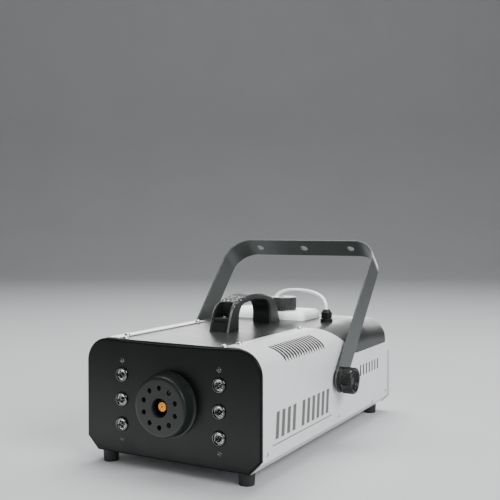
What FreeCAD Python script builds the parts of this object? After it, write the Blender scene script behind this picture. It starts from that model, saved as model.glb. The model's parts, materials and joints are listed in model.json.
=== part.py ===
import FreeCAD, Part
import math
import os
import re
from types import SimpleNamespace

import Sketcher
from FreeCAD import Placement, Rotation, Vector

# Fog machine with a swivelling yoke. +X is right seen from the front, the nozzle faces -Y, +Z is up.
# The origin is on the floor under the middle of the machine. Lengths are in millimetres.
# "From the front" means measured along +Y from the outer face of the front panel, and "height"
# means measured up from the underside of the case, which stands foot_height above the floor.

DIMENSIONS = {
    # case
    "case_half": 120.0, "case_height": 141.0, "case_length": 430.0, "sheet": 1.5,
    "shoulder": 33.0, "seam": 76.0, "chamfer": 12.0, "step_height": 96.5, "casing_low": 82.0,
    "deck": 139.5, "slope_start": 345.0, "rear_drop": 6.5, "rear_round": 10.0,
    # front and rear panels
    "panel_half": 123.0, "panel_height": 139.5, "panel_thick": 4.0, "panel_corner": 30.0,
    "panel_chamfer": 16.0, "panel_dip": 2.0, "rear_half": 122.5, "rear_height": 92.0,
    "rear_thick": 5.0, "rear_corner": 14.0, "rear_reach": 7.0,
    # feet
    "foot_height": 15.0, "foot_radius": 10.0, "foot_across": 97.0, "foot_first": 14.0,
    "foot_last": 412.0,
    # lamps and nozzle
    "lamp_across": 68.7, "lamp_height": 66.7, "lamp_pitch": 30.2, "lamp_radius": 9.0,
    "nozzle_height": 67.6, "guard_radius": 36.0, "guard_flange": 39.5, "guard_depth": 19.4,
    "guard_ring": 23.0, "guard_hole": 3.1, "guard_mouth": 10.7, "nozzle_radius": 6.2,
    # yoke and clamp knobs
    "pivot_from_front": 222.0, "pivot_height": 71.5, "yoke_lean": 41.6, "yoke_reach": 229.5,
    "yoke_width": 35.6, "yoke_thick": 2.5, "yoke_gap": 3.8, "yoke_bend": 35.0,
    "yoke_hole_step": 78.8, "yoke_hole": 5.25, "stud_radius": 4.0, "knob_radius": 18.0,
    "knob_length": 17.5, "washer_thick": 2.7, "spacer_radius": 12.0, "play": 0.3,
    # handle
    "handle_middle": 186.0, "handle_width": 29.5, "handle_height": 45.2, "handle_gap": 44.0,
    # tank, cap and hose
    "tank_left": -92.0, "tank_right": 41.6, "tank_front": 281.0, "tank_rear": 348.0,
    "tank_low": 8.0, "tank_high": 152.0, "tank_wall": 2.0, "tank_round": 9.0, "tank_play": 1.2,
    "cap_across": 0.5, "cap_from_front": 302.0, "cap_radius": 18.5, "cap_height": 19.0,
    "neck_radius": 15.0, "gland_across": 75.0, "gland_from_front": 290.0, "hose_radius": 2.5,
    # power switch
    "rocker_lean": 9.0,
}
d = SimpleNamespace(**DIMENSIONS)

# The whole machine is centred on Y = 0: it reaches from the guard's face to the rear fittings.
REAR_END = d.case_length + d.rear_thick + d.rear_reach
DIMENSIONS["front_plane"] = (d.guard_depth - REAR_END) / 2
DIMENSIONS["base"] = d.foot_height
d = SimpleNamespace(**DIMENSIONS)

doc = FreeCAD.newDocument("fog_machine")
sheet = doc.addObject("Spreadsheet::Sheet", "dims")
for row, (alias, value) in enumerate(DIMENSIONS.items(), start=1):
    sheet.set(f"A{row}", alias)
    sheet.set(f"B{row}", str(value))
    sheet.setAlias(f"B{row}", alias)
doc.recompute()

NODES = {}
ALIAS_WORD = re.compile(r"[a-z_]+")
AXIS_TURN = {"X": Rotation(Vector(0, 1, 0), 90), "Y": Rotation(Vector(1, 0, 0), -90),
             "Z": Rotation()}


# ---------------------------------------------------------------- small helpers

def from_front(distance):
    """Model Y of a point that lies this far behind the front panel's face."""
    return d.front_plane + distance


def height(distance):
    """Model Z of a point at this height above the underside of the case."""
    return d.base + distance


def bound(expression):
    """The expression with every driving dimension read from the sheet."""
    def read(match):
        word = match.group(0)
        return "dims." + word if word in DIMENSIONS else word
    return ALIAS_WORD.sub(read, expression)


def bind(obj, prop, expression):
    obj.setExpression(prop, bound(expression))


def put(obj, at, turn=None):
    """Place a primitive at three expressions, X across, Y from the front, Z height."""
    obj.Placement = Placement(Vector(), turn or Rotation())
    bind(obj, "Placement.Base.x", at[0])
    bind(obj, "Placement.Base.y", "front_plane + " + at[1])
    bind(obj, "Placement.Base.z", "base + " + at[2])
    return obj


def node(label, obj):
    """Register the object as the sub-part of that name."""
    obj.Label = label
    NODES[label] = obj
    return obj


def block(name, size, at):
    obj = doc.addObject("Part::Box", name)
    for prop, expression in zip(("Length", "Width", "Height"), size):
        bind(obj, prop, expression)
    return put(obj, at)


def rod(name, radius, length, at, axis="Z"):
    obj = doc.addObject("Part::Cylinder", name)
    bind(obj, "Radius", radius)
    bind(obj, "Height", length)
    return put(obj, at, AXIS_TURN[axis])


def cone(name, radius_start, radius_end, length, at, axis="Z"):
    obj = doc.addObject("Part::Cone", name)
    bind(obj, "Radius1", radius_start)
    bind(obj, "Radius2", radius_end)
    bind(obj, "Height", length)
    return put(obj, at, AXIS_TURN[axis])


def fuse(name, shapes):
    obj = doc.addObject("Part::MultiFuse", name)
    obj.Shapes = shapes
    return obj


def group(name, shapes):
    """Separate solids that share one node."""
    obj = doc.addObject("Part::Compound", name)
    obj.Links = shapes
    return obj


def cut(name, base_shape, tools):
    obj = doc.addObject("Part::Cut", name)
    obj.Base = base_shape
    obj.Tool = tools[0] if len(tools) == 1 else fuse(name + "_tools", tools)
    return obj


def round_edges(name, base_shape, radius, keep):
    """Part::Fillet on the edges for which keep(edge) is true."""
    doc.recompute()
    obj = doc.addObject("Part::Fillet", name)
    obj.Base = base_shape
    edges = base_shape.Shape.Edges
    obj.Edges = [(i, radius, radius) for i, edge in enumerate(edges, start=1) if keep(edge)]
    return obj


def new_body(label):
    return doc.addObject("PartDesign::Body", label)


PLANE_ROLE = {"XY": "XY_Plane", "XZ": "XZ_Plane", "YZ": "YZ_Plane"}


def sketch_on(body, plane, offset=0.0):
    """A sketch on the body's own origin plane, moved along that plane's normal.

    Sketch axes: XY gives (X, Y), XZ gives (X, Z) with its normal along -Y, YZ gives (Y, Z).
    """
    sk = body.newObject("Sketcher::SketchObject", body.Name + "_sketch")
    role = PLANE_ROLE[plane]
    origin = [f for f in body.Origin.OriginFeatures if f.Role == role][0]
    sk.AttachmentSupport = [(origin, "")]
    sk.MapMode = "FlatFace"
    sk.AttachmentOffset = Placement(Vector(0, 0, offset), Rotation())
    return sk


def outline(sk, start, steps):
    """Closed outline: each step is a line's end (x, y) or an arc ((mid x, y), (end x, y))."""
    here = start
    for step in steps:
        if isinstance(step[0], tuple):
            middle, end = step
            sk.addGeometry(Part.Arc(Vector(*here, 0), Vector(*middle, 0), Vector(*end, 0)), False)
        else:
            end = step
            sk.addGeometry(Part.LineSegment(Vector(*here, 0), Vector(*end, 0)), False)
        here = end
    if math.dist(here, start) > 1e-6:
        sk.addGeometry(Part.LineSegment(Vector(*here, 0), Vector(*start, 0)), False)


def circle(sk, x, y, radius):
    """Circle whose radius is bound to the sheet."""
    index = sk.addGeometry(Part.Circle(Vector(x, y, 0), Vector(0, 0, 1), 1.0), False)
    number = sk.addConstraint(Sketcher.Constraint("Radius", index, 1.0))
    sk.setExpression(f"Constraints[{number}]", bound(radius))


def arc_point(centre, radius, degrees):
    angle = math.radians(degrees)
    return (centre[0] + radius * math.cos(angle), centre[1] + radius * math.sin(angle))


def arc_step(centre, radius, start, end):
    """Arc step from one angle to another, in degrees, for outline()."""
    return (arc_point(centre, radius, (start + end) / 2), arc_point(centre, radius, end))


def feature(body, kind, sk, length, reverse=False, midplane=False):
    """Pad or Pocket of a sketch, with its length bound to the sheet."""
    obj = body.newObject("PartDesign::" + kind, body.Name + "_" + kind.lower())
    obj.Profile = sk
    bind(obj, "Length", length)
    obj.Reversed = reverse
    obj.Midplane = midplane
    sk.Visibility = False
    return obj


def tangent_path(points, share=0.45):
    """Straight runs joined by tangent arcs; returns the wire and the arc radii."""
    pts = [Vector(*p) for p in points]
    edges, radii, here = [], [], pts[0]
    for before, corner, after in zip(pts, pts[1:], pts[2:]):
        run_in, run_out = corner - before, after - corner
        half_turn = run_in.getAngle(run_out) / 2
        reach = share * min(run_in.Length, run_out.Length)
        radius = reach / math.tan(half_turn)
        u, v = run_in.normalize(), run_out.normalize()
        begin, end = corner - u * reach, corner + v * reach
        centre = corner + (v - u).normalize() * (radius / math.cos(half_turn))
        middle = centre + (corner - centre).normalize() * radius
        edges += [Part.LineSegment(here, begin).toShape(), Part.Arc(begin, middle, end).toShape()]
        radii.append(radius)
        here = end
    edges.append(Part.LineSegment(here, pts[-1]).toShape())
    return Part.Wire(edges), radii


def tube(label, points, radius):
    """Tube along runs and arcs, as a Part::Feature; its volume is compared with its length."""
    wire, radii = tangent_path(points)
    start = wire.Edges[0]
    profile = Part.Wire(Part.makeCircle(radius, start.valueAt(start.FirstParameter),
                                        start.tangentAt(start.FirstParameter)))
    solid = wire.makePipeShell([profile], True, True)
    ratio = solid.Volume / (math.pi * radius ** 2 * wire.Length)
    print(f"{label}: length {wire.Length:.1f}, volume ratio {ratio:.4f}, "
          f"arc radii {[round(r, 1) for r in radii]}")
    obj = doc.addObject("Part::Feature", label)
    obj.Shape = solid
    return node(label, obj)


# ---------------------------------------------------------------- case sections

def shell_section(inset, low):
    """Inverted U of the case, as start and steps in (X, Z), inset from the covers' outside."""
    half = d.case_half - inset
    radius = d.shoulder - inset
    top_z, low_z = height(d.case_height - inset), height(low)
    right, left = (half - radius, top_z - radius), (radius - half, top_z - radius)
    return (half, low_z), [(half, top_z - radius), arc_step(right, radius, 0, 90),
                           (radius - half, top_z), arc_step(left, radius, 90, 180),
                           (-half, low_z)]


def casing_solid(name, extra_inset, front, rear, low):
    """Straight pad to the start of the slope, then one that falls gently to a rounded rear end."""
    body = new_body(name)
    inset = d.sheet + extra_inset
    start_y = from_front(d.slope_start)
    section = shell_section(inset, low)
    front_sketch = sketch_on(body, "XZ", -start_y)
    outline(front_sketch, *section)
    feature(body, "Pad", front_sketch, f"slope_start - {front}")
    rear_sketch = sketch_on(body, "XZ", -start_y)
    outline(rear_sketch, *section)
    falling = feature(body, "Pad", rear_sketch, f"{rear} - slope_start", reverse=True)
    falling.UseCustomVector = True
    falling.Direction = Vector(0, -1, d.rear_drop / (d.case_length - d.slope_start))
    doc.recompute()
    rear_y = from_front(rear)
    rim = [f"Edge{i}" for i, e in enumerate(falling.Shape.Edges, start=1)
           if all(abs(v.Point.y - rear_y) < 1e-3 for v in e.Vertexes)
           and max(v.Point.z for v in e.Vertexes) > height(low) + 1.0]
    soft = body.newObject("PartDesign::Fillet", name + "_rounding")
    soft.Base = (falling, rim)
    soft.Radius = d.rear_round - extra_inset
    body.Tip = soft
    return body


def make_top_casing():
    """Gloss black inner casing: deck, shoulders and rounded rear end, open underneath."""
    outer = casing_solid("casing_outside", 0.0, d.panel_thick, d.case_length, d.casing_low)
    inner = casing_solid("casing_inside", d.sheet, d.panel_thick + d.sheet,
                         d.case_length - d.sheet, d.casing_low - 5.0)
    lip = block("casing_mouth", ("2*(case_half - 12)", "10", "deck - casing_low - 8 + 5"),
                ("-(case_half - 12)", "panel_thick - 4", "casing_low - 5"))
    bay = block("tank_bay", ("tank_right - tank_left + 2*tank_play",
                             "tank_rear - tank_front + 2*tank_play", "40"),
                ("tank_left - tank_play", "tank_front - tank_play", "deck - 20"))
    gland = rod("gland_hole", "6", "20", ("gland_across", "gland_from_front", "deck - 10"))
    screws = [rod(f"handle_hole_{i}", "2.2", "20", ("0", f"handle_middle + {at}", "deck - 10"))
              for i, at in enumerate((-58.0, 58.0))]
    tops = [rod(f"casing_top_hole_{i}", "1.7", "20", (x, y, "case_height - 12"))
            for i, (x, y) in enumerate(TOP_SCREWS + DECK_SCREWS)]
    vents = [shoulder_slot(f"casing_vent_{side + 1}_{i}", side, i)
             for side in (-1, 1) for i in range(SHOULDER_SLOTS)]
    node("top_casing", cut("top_casing", outer,
                           [inner, lip, bay, gland] + screws + tops + vents))


# Screws along the two seams: the first of each side sits on the deck, the others on the cover.
DECK_SCREWS = [(f"{side}*(seam - 6)", "9.5") for side in (-1, 1)]
TOP_SCREWS = [(f"{side}*(seam + 4.5)", y) for side in (-1, 1) for y in ("26", "188")]
SIDE_SCREWS = [(20.0, 20.0), (228.0, 20.0), (358.0, 15.0), (419.0, 20.0)]
SHOULDER_SLOTS = 16


def step_profile(body):
    """Pocket that steps the cover down behind the yoke: outline in (Y, Z)."""
    rise, dip = 60.0, 40.0
    turn = 30.0
    top_y, top_z, low_z = from_front(195.0), height(d.case_height), height(d.step_height)
    high_centre = (top_y, top_z - rise)
    slope_from = arc_point(high_centre, rise, 90 - turn)
    low_arc_z = low_z + dip * (1 - math.cos(math.radians(turn)))
    run = (slope_from[1] - low_arc_z) / math.tan(math.radians(turn))
    slope_to = (slope_from[0] + run, low_arc_z)
    low_centre = (slope_to[0] + dip * math.sin(math.radians(turn)), low_z + dip)
    end_y = from_front(d.case_length + 5)
    sk = sketch_on(body, "YZ")
    outline(sk, (top_y, top_z + 1), [
        (top_y, top_z), arc_step(high_centre, rise, 90, 90 - turn), slope_to,
        arc_step(low_centre, dip, 270 - turn, 270), (end_y, low_z), (end_y, top_z + 1)])
    return feature(body, "Pocket", sk, "4*case_half", midplane=True)


def make_cover(label, side):
    """White powder-coated side cover: top flange, shoulder, side, bottom chamfer and flange."""
    body = new_body(label + "_sheet")
    start_y = from_front(d.case_length)
    sk = sketch_on(body, "XZ", -start_y)
    s, t = side, d.sheet
    top, low, half = height(d.case_height), height(0), d.case_half
    centre = (s * (half - d.shoulder), top - d.shoulder)
    outer, inner = d.shoulder, d.shoulder - t
    bevel = t * math.tan(math.radians(22.5))
    degrees = (90, 0) if side > 0 else (90, 180)
    outline(sk, (s * d.seam, top), [
        (centre[0], top), arc_step(centre, outer, *degrees), (s * half, low + d.chamfer),
        (s * (half - d.chamfer), low), (s * 90.0, low), (s * 90.0, low + t),
        (s * (half - d.chamfer - bevel), low + t), (s * (half - t), low + d.chamfer + bevel),
        (s * (half - t), centre[1]), arc_step(centre, inner, *degrees[::-1]),
        (s * d.seam, top - t)])
    feature(body, "Pad", sk, "case_length - panel_thick")
    step = step_profile(body)
    body.Tip = step
    tools = [shoulder_slot(f"{label}_slot_{i}", side, i) for i in range(SHOULDER_SLOTS)]
    for i in range(7):
        tools.append(block(f"{label}_rear_slot_{i}", ("20", "4", "16"),
                           (f"{side}*case_half - 10", f"308.5 + 12*{i}", "60.5")))
    tools.append(rod(label + "_stud_hole", "stud_radius + 0.6", "20",
                     (f"{side}*case_half - 10", "pivot_from_front", "pivot_height"), "X"))
    for i, (y, z) in enumerate(SIDE_SCREWS):
        tools.append(rod(f"{label}_side_hole_{i}", "1.7", "20",
                         (f"{side}*case_half - 10", str(y), str(z)), "X"))
    for i, (x, y) in enumerate(TOP_SCREWS):
        if x.startswith("-") == (side < 0):
            tools.append(rod(f"{label}_top_hole_{i}", "1.7", "20", (x, y, "case_height - 10")))
    for i, y in enumerate(("foot_first", "foot_last")):
        tools.append(rod(f"{label}_foot_hole_{i}", "2.2", "20",
                         (f"{side}*foot_across", y, "-10")))
    node(label, cut(label, body, tools))


def shoulder_slot(name, side, index):
    """One slanted vent over the shoulder, cut straight down and stopping in the side wall."""
    first, pitch, slant, width = 53.0, 7.42, 18.5, 3.1
    near, far = 103.6, 118.0
    angle = math.degrees(math.atan2(slant, far - near))
    length = math.hypot(slant, far - near)
    slot = doc.addObject("Part::Box", name)
    slot.Length, slot.Width, slot.Height = length, width, 30.0
    start = Vector(side * near, from_front(first + index * pitch), height(117.0))
    turn = Rotation(Vector(0, 0, 1), angle if side > 0 else 180 - angle)
    slot.Placement = Placement(start - turn.multVec(Vector(0, width / 2, 0)), turn)
    return slot


def make_base_tray():
    """Folded steel tray inside the covers: floor with vents and two side lips."""
    inside = "case_half - chamfer - 3"
    floor = block("tray_floor", (f"2*({inside})", "case_length - panel_thick - 1", "sheet"),
                  (f"-({inside})", "panel_thick", "sheet"))
    lips = [block(f"tray_lip_{i}", ("sheet", "case_length - panel_thick - 1", "16"),
                  (x, "panel_thick", "sheet"))
            for i, x in enumerate((f"-({inside})", f"{inside} - sheet"))]
    ends = [block(f"tray_end_{i}", (f"2*({inside})", "sheet", "12"), (f"-({inside})", y, "sheet"))
            for i, y in enumerate(("panel_thick", "case_length - 1 - sheet"))]
    holes = [block(f"tray_vent_{i}", ("60", "4", "10"), ("-30", f"40 + 12*{i}", "-3"))
             for i in range(9)]
    holes += [rod(f"tray_foot_hole_{i}_{j}", "2.2", "10", (f"{s}*foot_across", y, "-3"))
              for i, s in enumerate((-1, 1)) for j, y in enumerate(("foot_first", "foot_last"))]
    node("base_tray", cut("base_tray", fuse("tray", [floor] + lips + ends), holes))


def make_front_panel():
    """Black panel: rounded top corners, slightly dipped top edge, chamfered bottom corners."""
    body = new_body("front_panel")
    sk = sketch_on(body, "XZ", -from_front(0))
    half, r, c = d.panel_half, d.panel_corner, d.panel_chamfer
    top, low = height(d.panel_height), height(0)
    right, left = (half - r, top - r), (r - half, top - r)
    outline(sk, (half, low + c), [
        (half, top - r), arc_step(right, r, 0, 90),
        ((0, top - d.panel_dip), (r - half, top)), arc_step(left, r, 90, 180),
        (-half, low + c), (c - half, low), (half - c, low)])
    pad = feature(body, "Pad", sk, "panel_thick", reverse=True)
    holes = sketch_on(body, "XZ", -from_front(0))
    circle(holes, 0, height(d.nozzle_height), "guard_radius - 4")
    for side in (-1, 1):
        for step in (-1, 0, 1):
            circle(holes, side * d.lamp_across, height(d.lamp_height + step * d.lamp_pitch),
                   "lamp_radius - 1")
        for step in (-1, 1):
            circle(holes, side * d.lamp_across, height(LAMP_SCREW[step]), "1.6")
    pocket = feature(body, "Pocket", holes, "3*panel_thick", midplane=True)
    doc.recompute()
    front = from_front(0)
    rim = [f"Edge{i}" for i, e in enumerate(pocket.Shape.Edges, start=1)
           if all(abs(v.Point.y - front) < 1e-3 for v in e.Vertexes) and len(e.Vertexes) == 2]
    fillet = body.newObject("PartDesign::Fillet", "front_panel_rim")
    fillet.Base = (pocket, rim)
    fillet.Radius = 2.4
    node("front_panel", body)


LAMP_SCREW = {-1: 18.5, 1: 113.9}
KNOB_SCALLOP = -128.0


def make_rear_panel():
    """White rear panel that carries the mains inlet, switch, fuse and remote socket."""
    body = new_body("rear_plate")
    sk = sketch_on(body, "XZ", -from_front(d.case_length))
    half, r, c = d.rear_half, d.rear_corner, d.chamfer
    top, low = height(d.rear_height), height(0)
    outline(sk, (half, low + c), [
        (half, top - r), arc_step((half - r, top - r), r, 0, 90), (r - half, top),
        arc_step((r - half, top - r), r, 90, 180), (-half, low + c), (c - half, low),
        (half - c, low)])
    feature(body, "Pad", sk, "rear_thick", reverse=True)
    face = "case_length - 5"
    tools = [block("inlet_hole", ("27.4", "20", "19.4"), ("-80 - 13.7", face, "38 - 9.7")),
             block("switch_hole", ("19.4", "20", "13.4"), ("-38 - 9.7", face, "38 - 6.7")),
             rod("fuse_hole", "6.2", "20", ("-8", face, "38"), "Y"),
             rod("remote_hole", "9.2", "20", ("60", face, "38"), "Y")]
    tools += [rod(f"rear_screw_hole_{i}", "1.6", "20", (x, face, z), "Y")
              for i, (x, z) in enumerate(REAR_SCREWS)]
    node("rear_panel", cut("rear_panel", body, tools))


REAR_SCREWS = [("-108", "16"), ("108", "16"), ("-104", "70"), ("104", "70")]


# ---------------------------------------------------------------- nozzle and lamps

def make_nozzle():
    """Dished guard with a ring of ten holes, and the brass nozzle with its feed tube."""
    depth, face, flange = d.guard_depth, d.guard_radius, d.guard_flange
    skin, edge = 2.5, 4.0
    profile = [(d.guard_mouth, -depth + 1.0), (d.guard_mouth + 1.0, -depth),
               (face - edge, -depth)]
    body = new_body("guard_dish")
    sk = sketch_on(body, "XY", height(d.nozzle_height))
    to_y = from_front
    corner = (face - edge, to_y(-depth + edge))
    outline(sk, (profile[0][0], to_y(profile[0][1])), [
        (profile[1][0], to_y(profile[1][1])), (profile[2][0], to_y(profile[2][1])),
        arc_step(corner, edge, -90, 0), (face + 1.2, to_y(-3.2)), (flange, to_y(-2.6)),
        (flange, to_y(0)), (face - skin - 2, to_y(0)), (face - skin - 2, to_y(-depth + edge)),
        (face - edge - 1.5, to_y(-depth + skin)), (d.guard_mouth + 2.5, to_y(-depth + skin)),
        (d.guard_mouth + 2.5, to_y(-depth + 7)), (d.guard_mouth, to_y(-depth + 7))])
    sk.addGeometry(Part.LineSegment(Vector(0, 0, 0), Vector(0, 1, 0)), True)
    turn = body.newObject("PartDesign::Revolution", "guard_turn")
    turn.Profile = sk
    turn.ReferenceAxis = (sk, ["Axis0"])
    turn.Angle = 360.0
    holes = []
    for i in range(10):
        angle = math.radians(90 - 36 * i)
        x, z = d.guard_ring * math.cos(angle), d.guard_ring * math.sin(angle)
        holes.append(rod(f"guard_hole_{i}", "guard_hole", "12",
                         (f"{x:.3f}", "0 - guard_depth - 4", f"nozzle_height + {z:.3f}"), "Y"))
    node("nozzle_guard", cut("nozzle_guard", body, holes))
    tip = cone("nozzle_tip", "nozzle_radius - 0.8", "nozzle_radius", "0.8",
               ("0", "0 - guard_depth + 6", "nozzle_height"), "Y")
    barrel = rod("nozzle_barrel", "nozzle_radius", "11.2",
                 ("0", "0 - guard_depth + 6.8", "nozzle_height"), "Y")
    bore = rod("nozzle_orifice", "0.9", "16", ("0", "0 - guard_depth + 4", "nozzle_height"), "Y")
    node("nozzle", cut("nozzle", fuse("nozzle_body", [tip, barrel]), [bore]))
    pipe = rod("nozzle_pipe_outside", "4", "25", ("0", "0 - guard_depth + 18", "nozzle_height"),
               "Y")
    hole = rod("nozzle_pipe_bore", "2", "25", ("0", "0 - guard_depth + 18", "nozzle_height"), "Y")
    node("nozzle_pipe", cut("nozzle_pipe", pipe, [hole]))


def lamp_places():
    return [(side, step) for side in (-1, 1) for step in (1, 0, -1)]


def lamp_at(side, step):
    return (f"{side}*lamp_across", f"lamp_height + {step}*lamp_pitch")


def make_lamps():
    """Six LED lamps: chrome bezel, faceted reflector and clear lens, on two circuit boards."""
    bezels, reflectors, lenses, chips = [], [], [], []
    for i, (side, step) in enumerate(lamp_places()):
        x, z = lamp_at(side, step)
        ring = cone(f"bezel_ring_{i}", "lamp_radius - 1", "lamp_radius", "1.2", (x, "-2.4", z), "Y")
        rim = rod(f"bezel_rim_{i}", "lamp_radius", "1.2", (x, "-1.2", z), "Y")
        sleeve = rod(f"bezel_sleeve_{i}", "lamp_radius - 1.1", "9", (x, "0", z), "Y")
        hollow = rod(f"bezel_bore_{i}", "lamp_radius - 2.2", "20", (x, "-6", z), "Y")
        bezels.append(cut(f"bezel_{i}", fuse(f"bezel_body_{i}", [ring, rim, sleeve]), [hollow]))
        cup = rod(f"cup_outside_{i}", "lamp_radius - 2.3", "8", (x, "1", z), "Y")
        dish = cone(f"cup_dish_{i}", "lamp_radius - 2.9", "2.2", "7", (x, "1", z), "Y")
        seat = rod(f"cup_seat_{i}", "2.2", "4", (x, "7", z), "Y")
        reflectors.append(cut(f"reflector_{i}", cup, [fuse(f"cup_void_{i}", [dish, seat])]))
        lenses.append(rod(f"lens_{i}", "lamp_radius - 2.3", "1.6", (x, "-0.8", z), "Y"))
        chips.append(rod(f"chip_{i}", "2", "1.6", (x, "7.4", z), "Y"))
    node("lamp_bezels", group("lamp_bezels", bezels))
    node("lamp_reflectors", group("lamp_reflectors", reflectors))
    node("lamp_lenses", group("lamp_lenses", lenses))
    for label, side, first in (("lamp_board_left", -1, 0), ("lamp_board_right", 1, 3)):
        x = f"{side}*lamp_across"
        plate = block(label + "_plate", ("22", "1.6", "106"), (x + " - 11", "9", "13.7"))
        holes = [rod(f"{label}_hole_{s}", "1.6", "10", (x, "5", str(z)), "Y")
                 for s, z in LAMP_SCREW.items()]
        bare = cut(label + "_bare", plate, holes)
        node(label, fuse(label, [bare] + chips[first:first + 3]))
    screws = []
    for i, side in enumerate((-1, 1)):
        for j, z in enumerate(LAMP_SCREW.values()):
            screws.append(screw(f"lamp_screw_{i}_{j}", (f"{side}*lamp_across", "0", str(z)),
                                (0, -1, 0), 3.0, 1.5, 14.0))
    node("lamp_screws", group("lamp_screws", screws))


def screw(name, at, out, head, shank, length, rise=1.7):
    """Dome-head screw: at is the seat's centre, out the way the head points."""
    out = Vector(*out)
    turn = Rotation(Vector(0, 0, 1), out)
    sphere_radius = (head ** 2 + rise ** 2) / (2 * rise)
    ball = doc.addObject("Part::Sphere", name + "_ball")
    ball.Radius = sphere_radius
    slab = doc.addObject("Part::Cylinder", name + "_slab")
    slab.Radius, slab.Height = head, rise
    slab.Placement = Placement(Vector(), Rotation())
    ball.Placement = Placement(Vector(0, 0, rise - sphere_radius), Rotation())
    dome = doc.addObject("Part::Common", name + "_dome")
    dome.Base, dome.Tool = ball, slab
    stem = doc.addObject("Part::Cylinder", name + "_stem")
    stem.Radius, stem.Height = shank, length
    stem.Placement = Placement(Vector(0, 0, -length), Rotation())
    whole = fuse(name + "_whole", [dome, stem])
    slot = doc.addObject("Part::Box", name + "_cross")
    slot.Length, slot.Width, slot.Height = head * 1.1, head * 0.28, rise
    slot.Placement = Placement(Vector(-head * 0.55, -head * 0.14, rise * 0.45), Rotation())
    slot2 = doc.addObject("Part::Box", name + "_cross2")
    slot2.Length, slot2.Width, slot2.Height = head * 0.28, head * 1.1, rise
    slot2.Placement = Placement(Vector(-head * 0.14, -head * 0.55, rise * 0.45), Rotation())
    done = cut(name, whole, [slot, slot2])
    put(done, at, turn)
    return done


# ---------------------------------------------------------------- yoke and knobs

def make_yoke():
    """Flat bar bent to a U, leaning back about the pivot; three fixing holes in the bar."""
    body = new_body("yoke_bar")
    sk = sketch_on(body, "XZ")
    inner = d.case_half + d.yoke_gap
    outer = inner + d.yoke_thick
    reach, r_in = d.yoke_reach, d.yoke_bend
    r_out = r_in + d.yoke_thick
    foot = -d.yoke_width / 2
    right, left = (inner - r_in, reach - r_in), (r_in - inner, reach - r_in)
    outline(sk, (outer, foot), [
        (outer, reach - r_in), arc_step(right, r_out, 0, 90), (r_in - inner, reach + d.yoke_thick),
        arc_step(left, r_out, 90, 180), (-outer, foot), (-inner, foot), (-inner, reach - r_in),
        arc_step(left, r_in, 180, 90), (inner - r_in, reach), arc_step(right, r_in, 90, 0),
        (inner, foot)])
    feature(body, "Pad", sk, "yoke_width", midplane=True)
    ends = sketch_on(body, "YZ")
    half = d.yoke_width / 2
    outline(ends, (-half - 1, 0), [(-half, 0), arc_step((0, 0), half, 180, 360), (half + 1, 0),
                                   (half + 1, -half - 1), (-half - 1, -half - 1)])
    feature(body, "Pocket", ends, "4*case_half", midplane=True)
    studs = sketch_on(body, "YZ")
    circle(studs, 0, 0, "stud_radius + 0.1")
    feature(body, "Pocket", studs, "4*case_half", midplane=True)
    fixing = sketch_on(body, "XY", reach)
    for step in (-1, 0, 1):
        circle(fixing, step * d.yoke_hole_step, 0, "yoke_hole")
    pocket = feature(body, "Pocket", fixing, "4*yoke_thick", midplane=True)
    body.Tip = pocket
    doc.recompute()
    long_edges = [f"Edge{i}" for i, e in enumerate(pocket.Shape.Edges, start=1)
                  if all(abs(abs(v.Point.y) - half) < 1e-3 for v in e.Vertexes)
                  and len(e.Vertexes) == 2 and e.Length > 10
                  and abs(e.Vertexes[0].Point.y - e.Vertexes[1].Point.y) < 1e-3]
    fillet = body.newObject("PartDesign::Fillet", "yoke_soft_edges")
    fillet.Base = (pocket, long_edges)
    fillet.Radius = 0.5
    put(body, ("0", "pivot_from_front", "pivot_height"), Rotation(Vector(1, 0, 0), -d.yoke_lean))
    node("yoke", body)


def knob_profile(sk, radius):
    """Round knob with three finger scallops; the ribs between them are cut afterwards."""
    outline_steps = []
    scoop, bite = 11.0, 14.0
    reach = math.degrees(math.acos((radius ** 2 + (radius + scoop - 2.2) ** 2 - scoop ** 2)
                                   / (2 * radius * (radius + scoop - 2.2))))
    start = None
    for k in range(3):
        middle = KNOB_SCALLOP + 120.0 * k
        centre = arc_point((0, 0), radius + scoop - 2.2, middle)
        begin = arc_point((0, 0), radius, middle - reach)
        end = arc_point((0, 0), radius, middle + reach)
        deep = arc_point((0, 0), radius - 2.2, middle)
        if start is None:
            start = begin
        outline_steps.append((deep, end))
        outline_steps.append(arc_step((0, 0), radius, middle + reach, middle + 120 - reach))
    outline(sk, start, outline_steps)
    return reach


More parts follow.
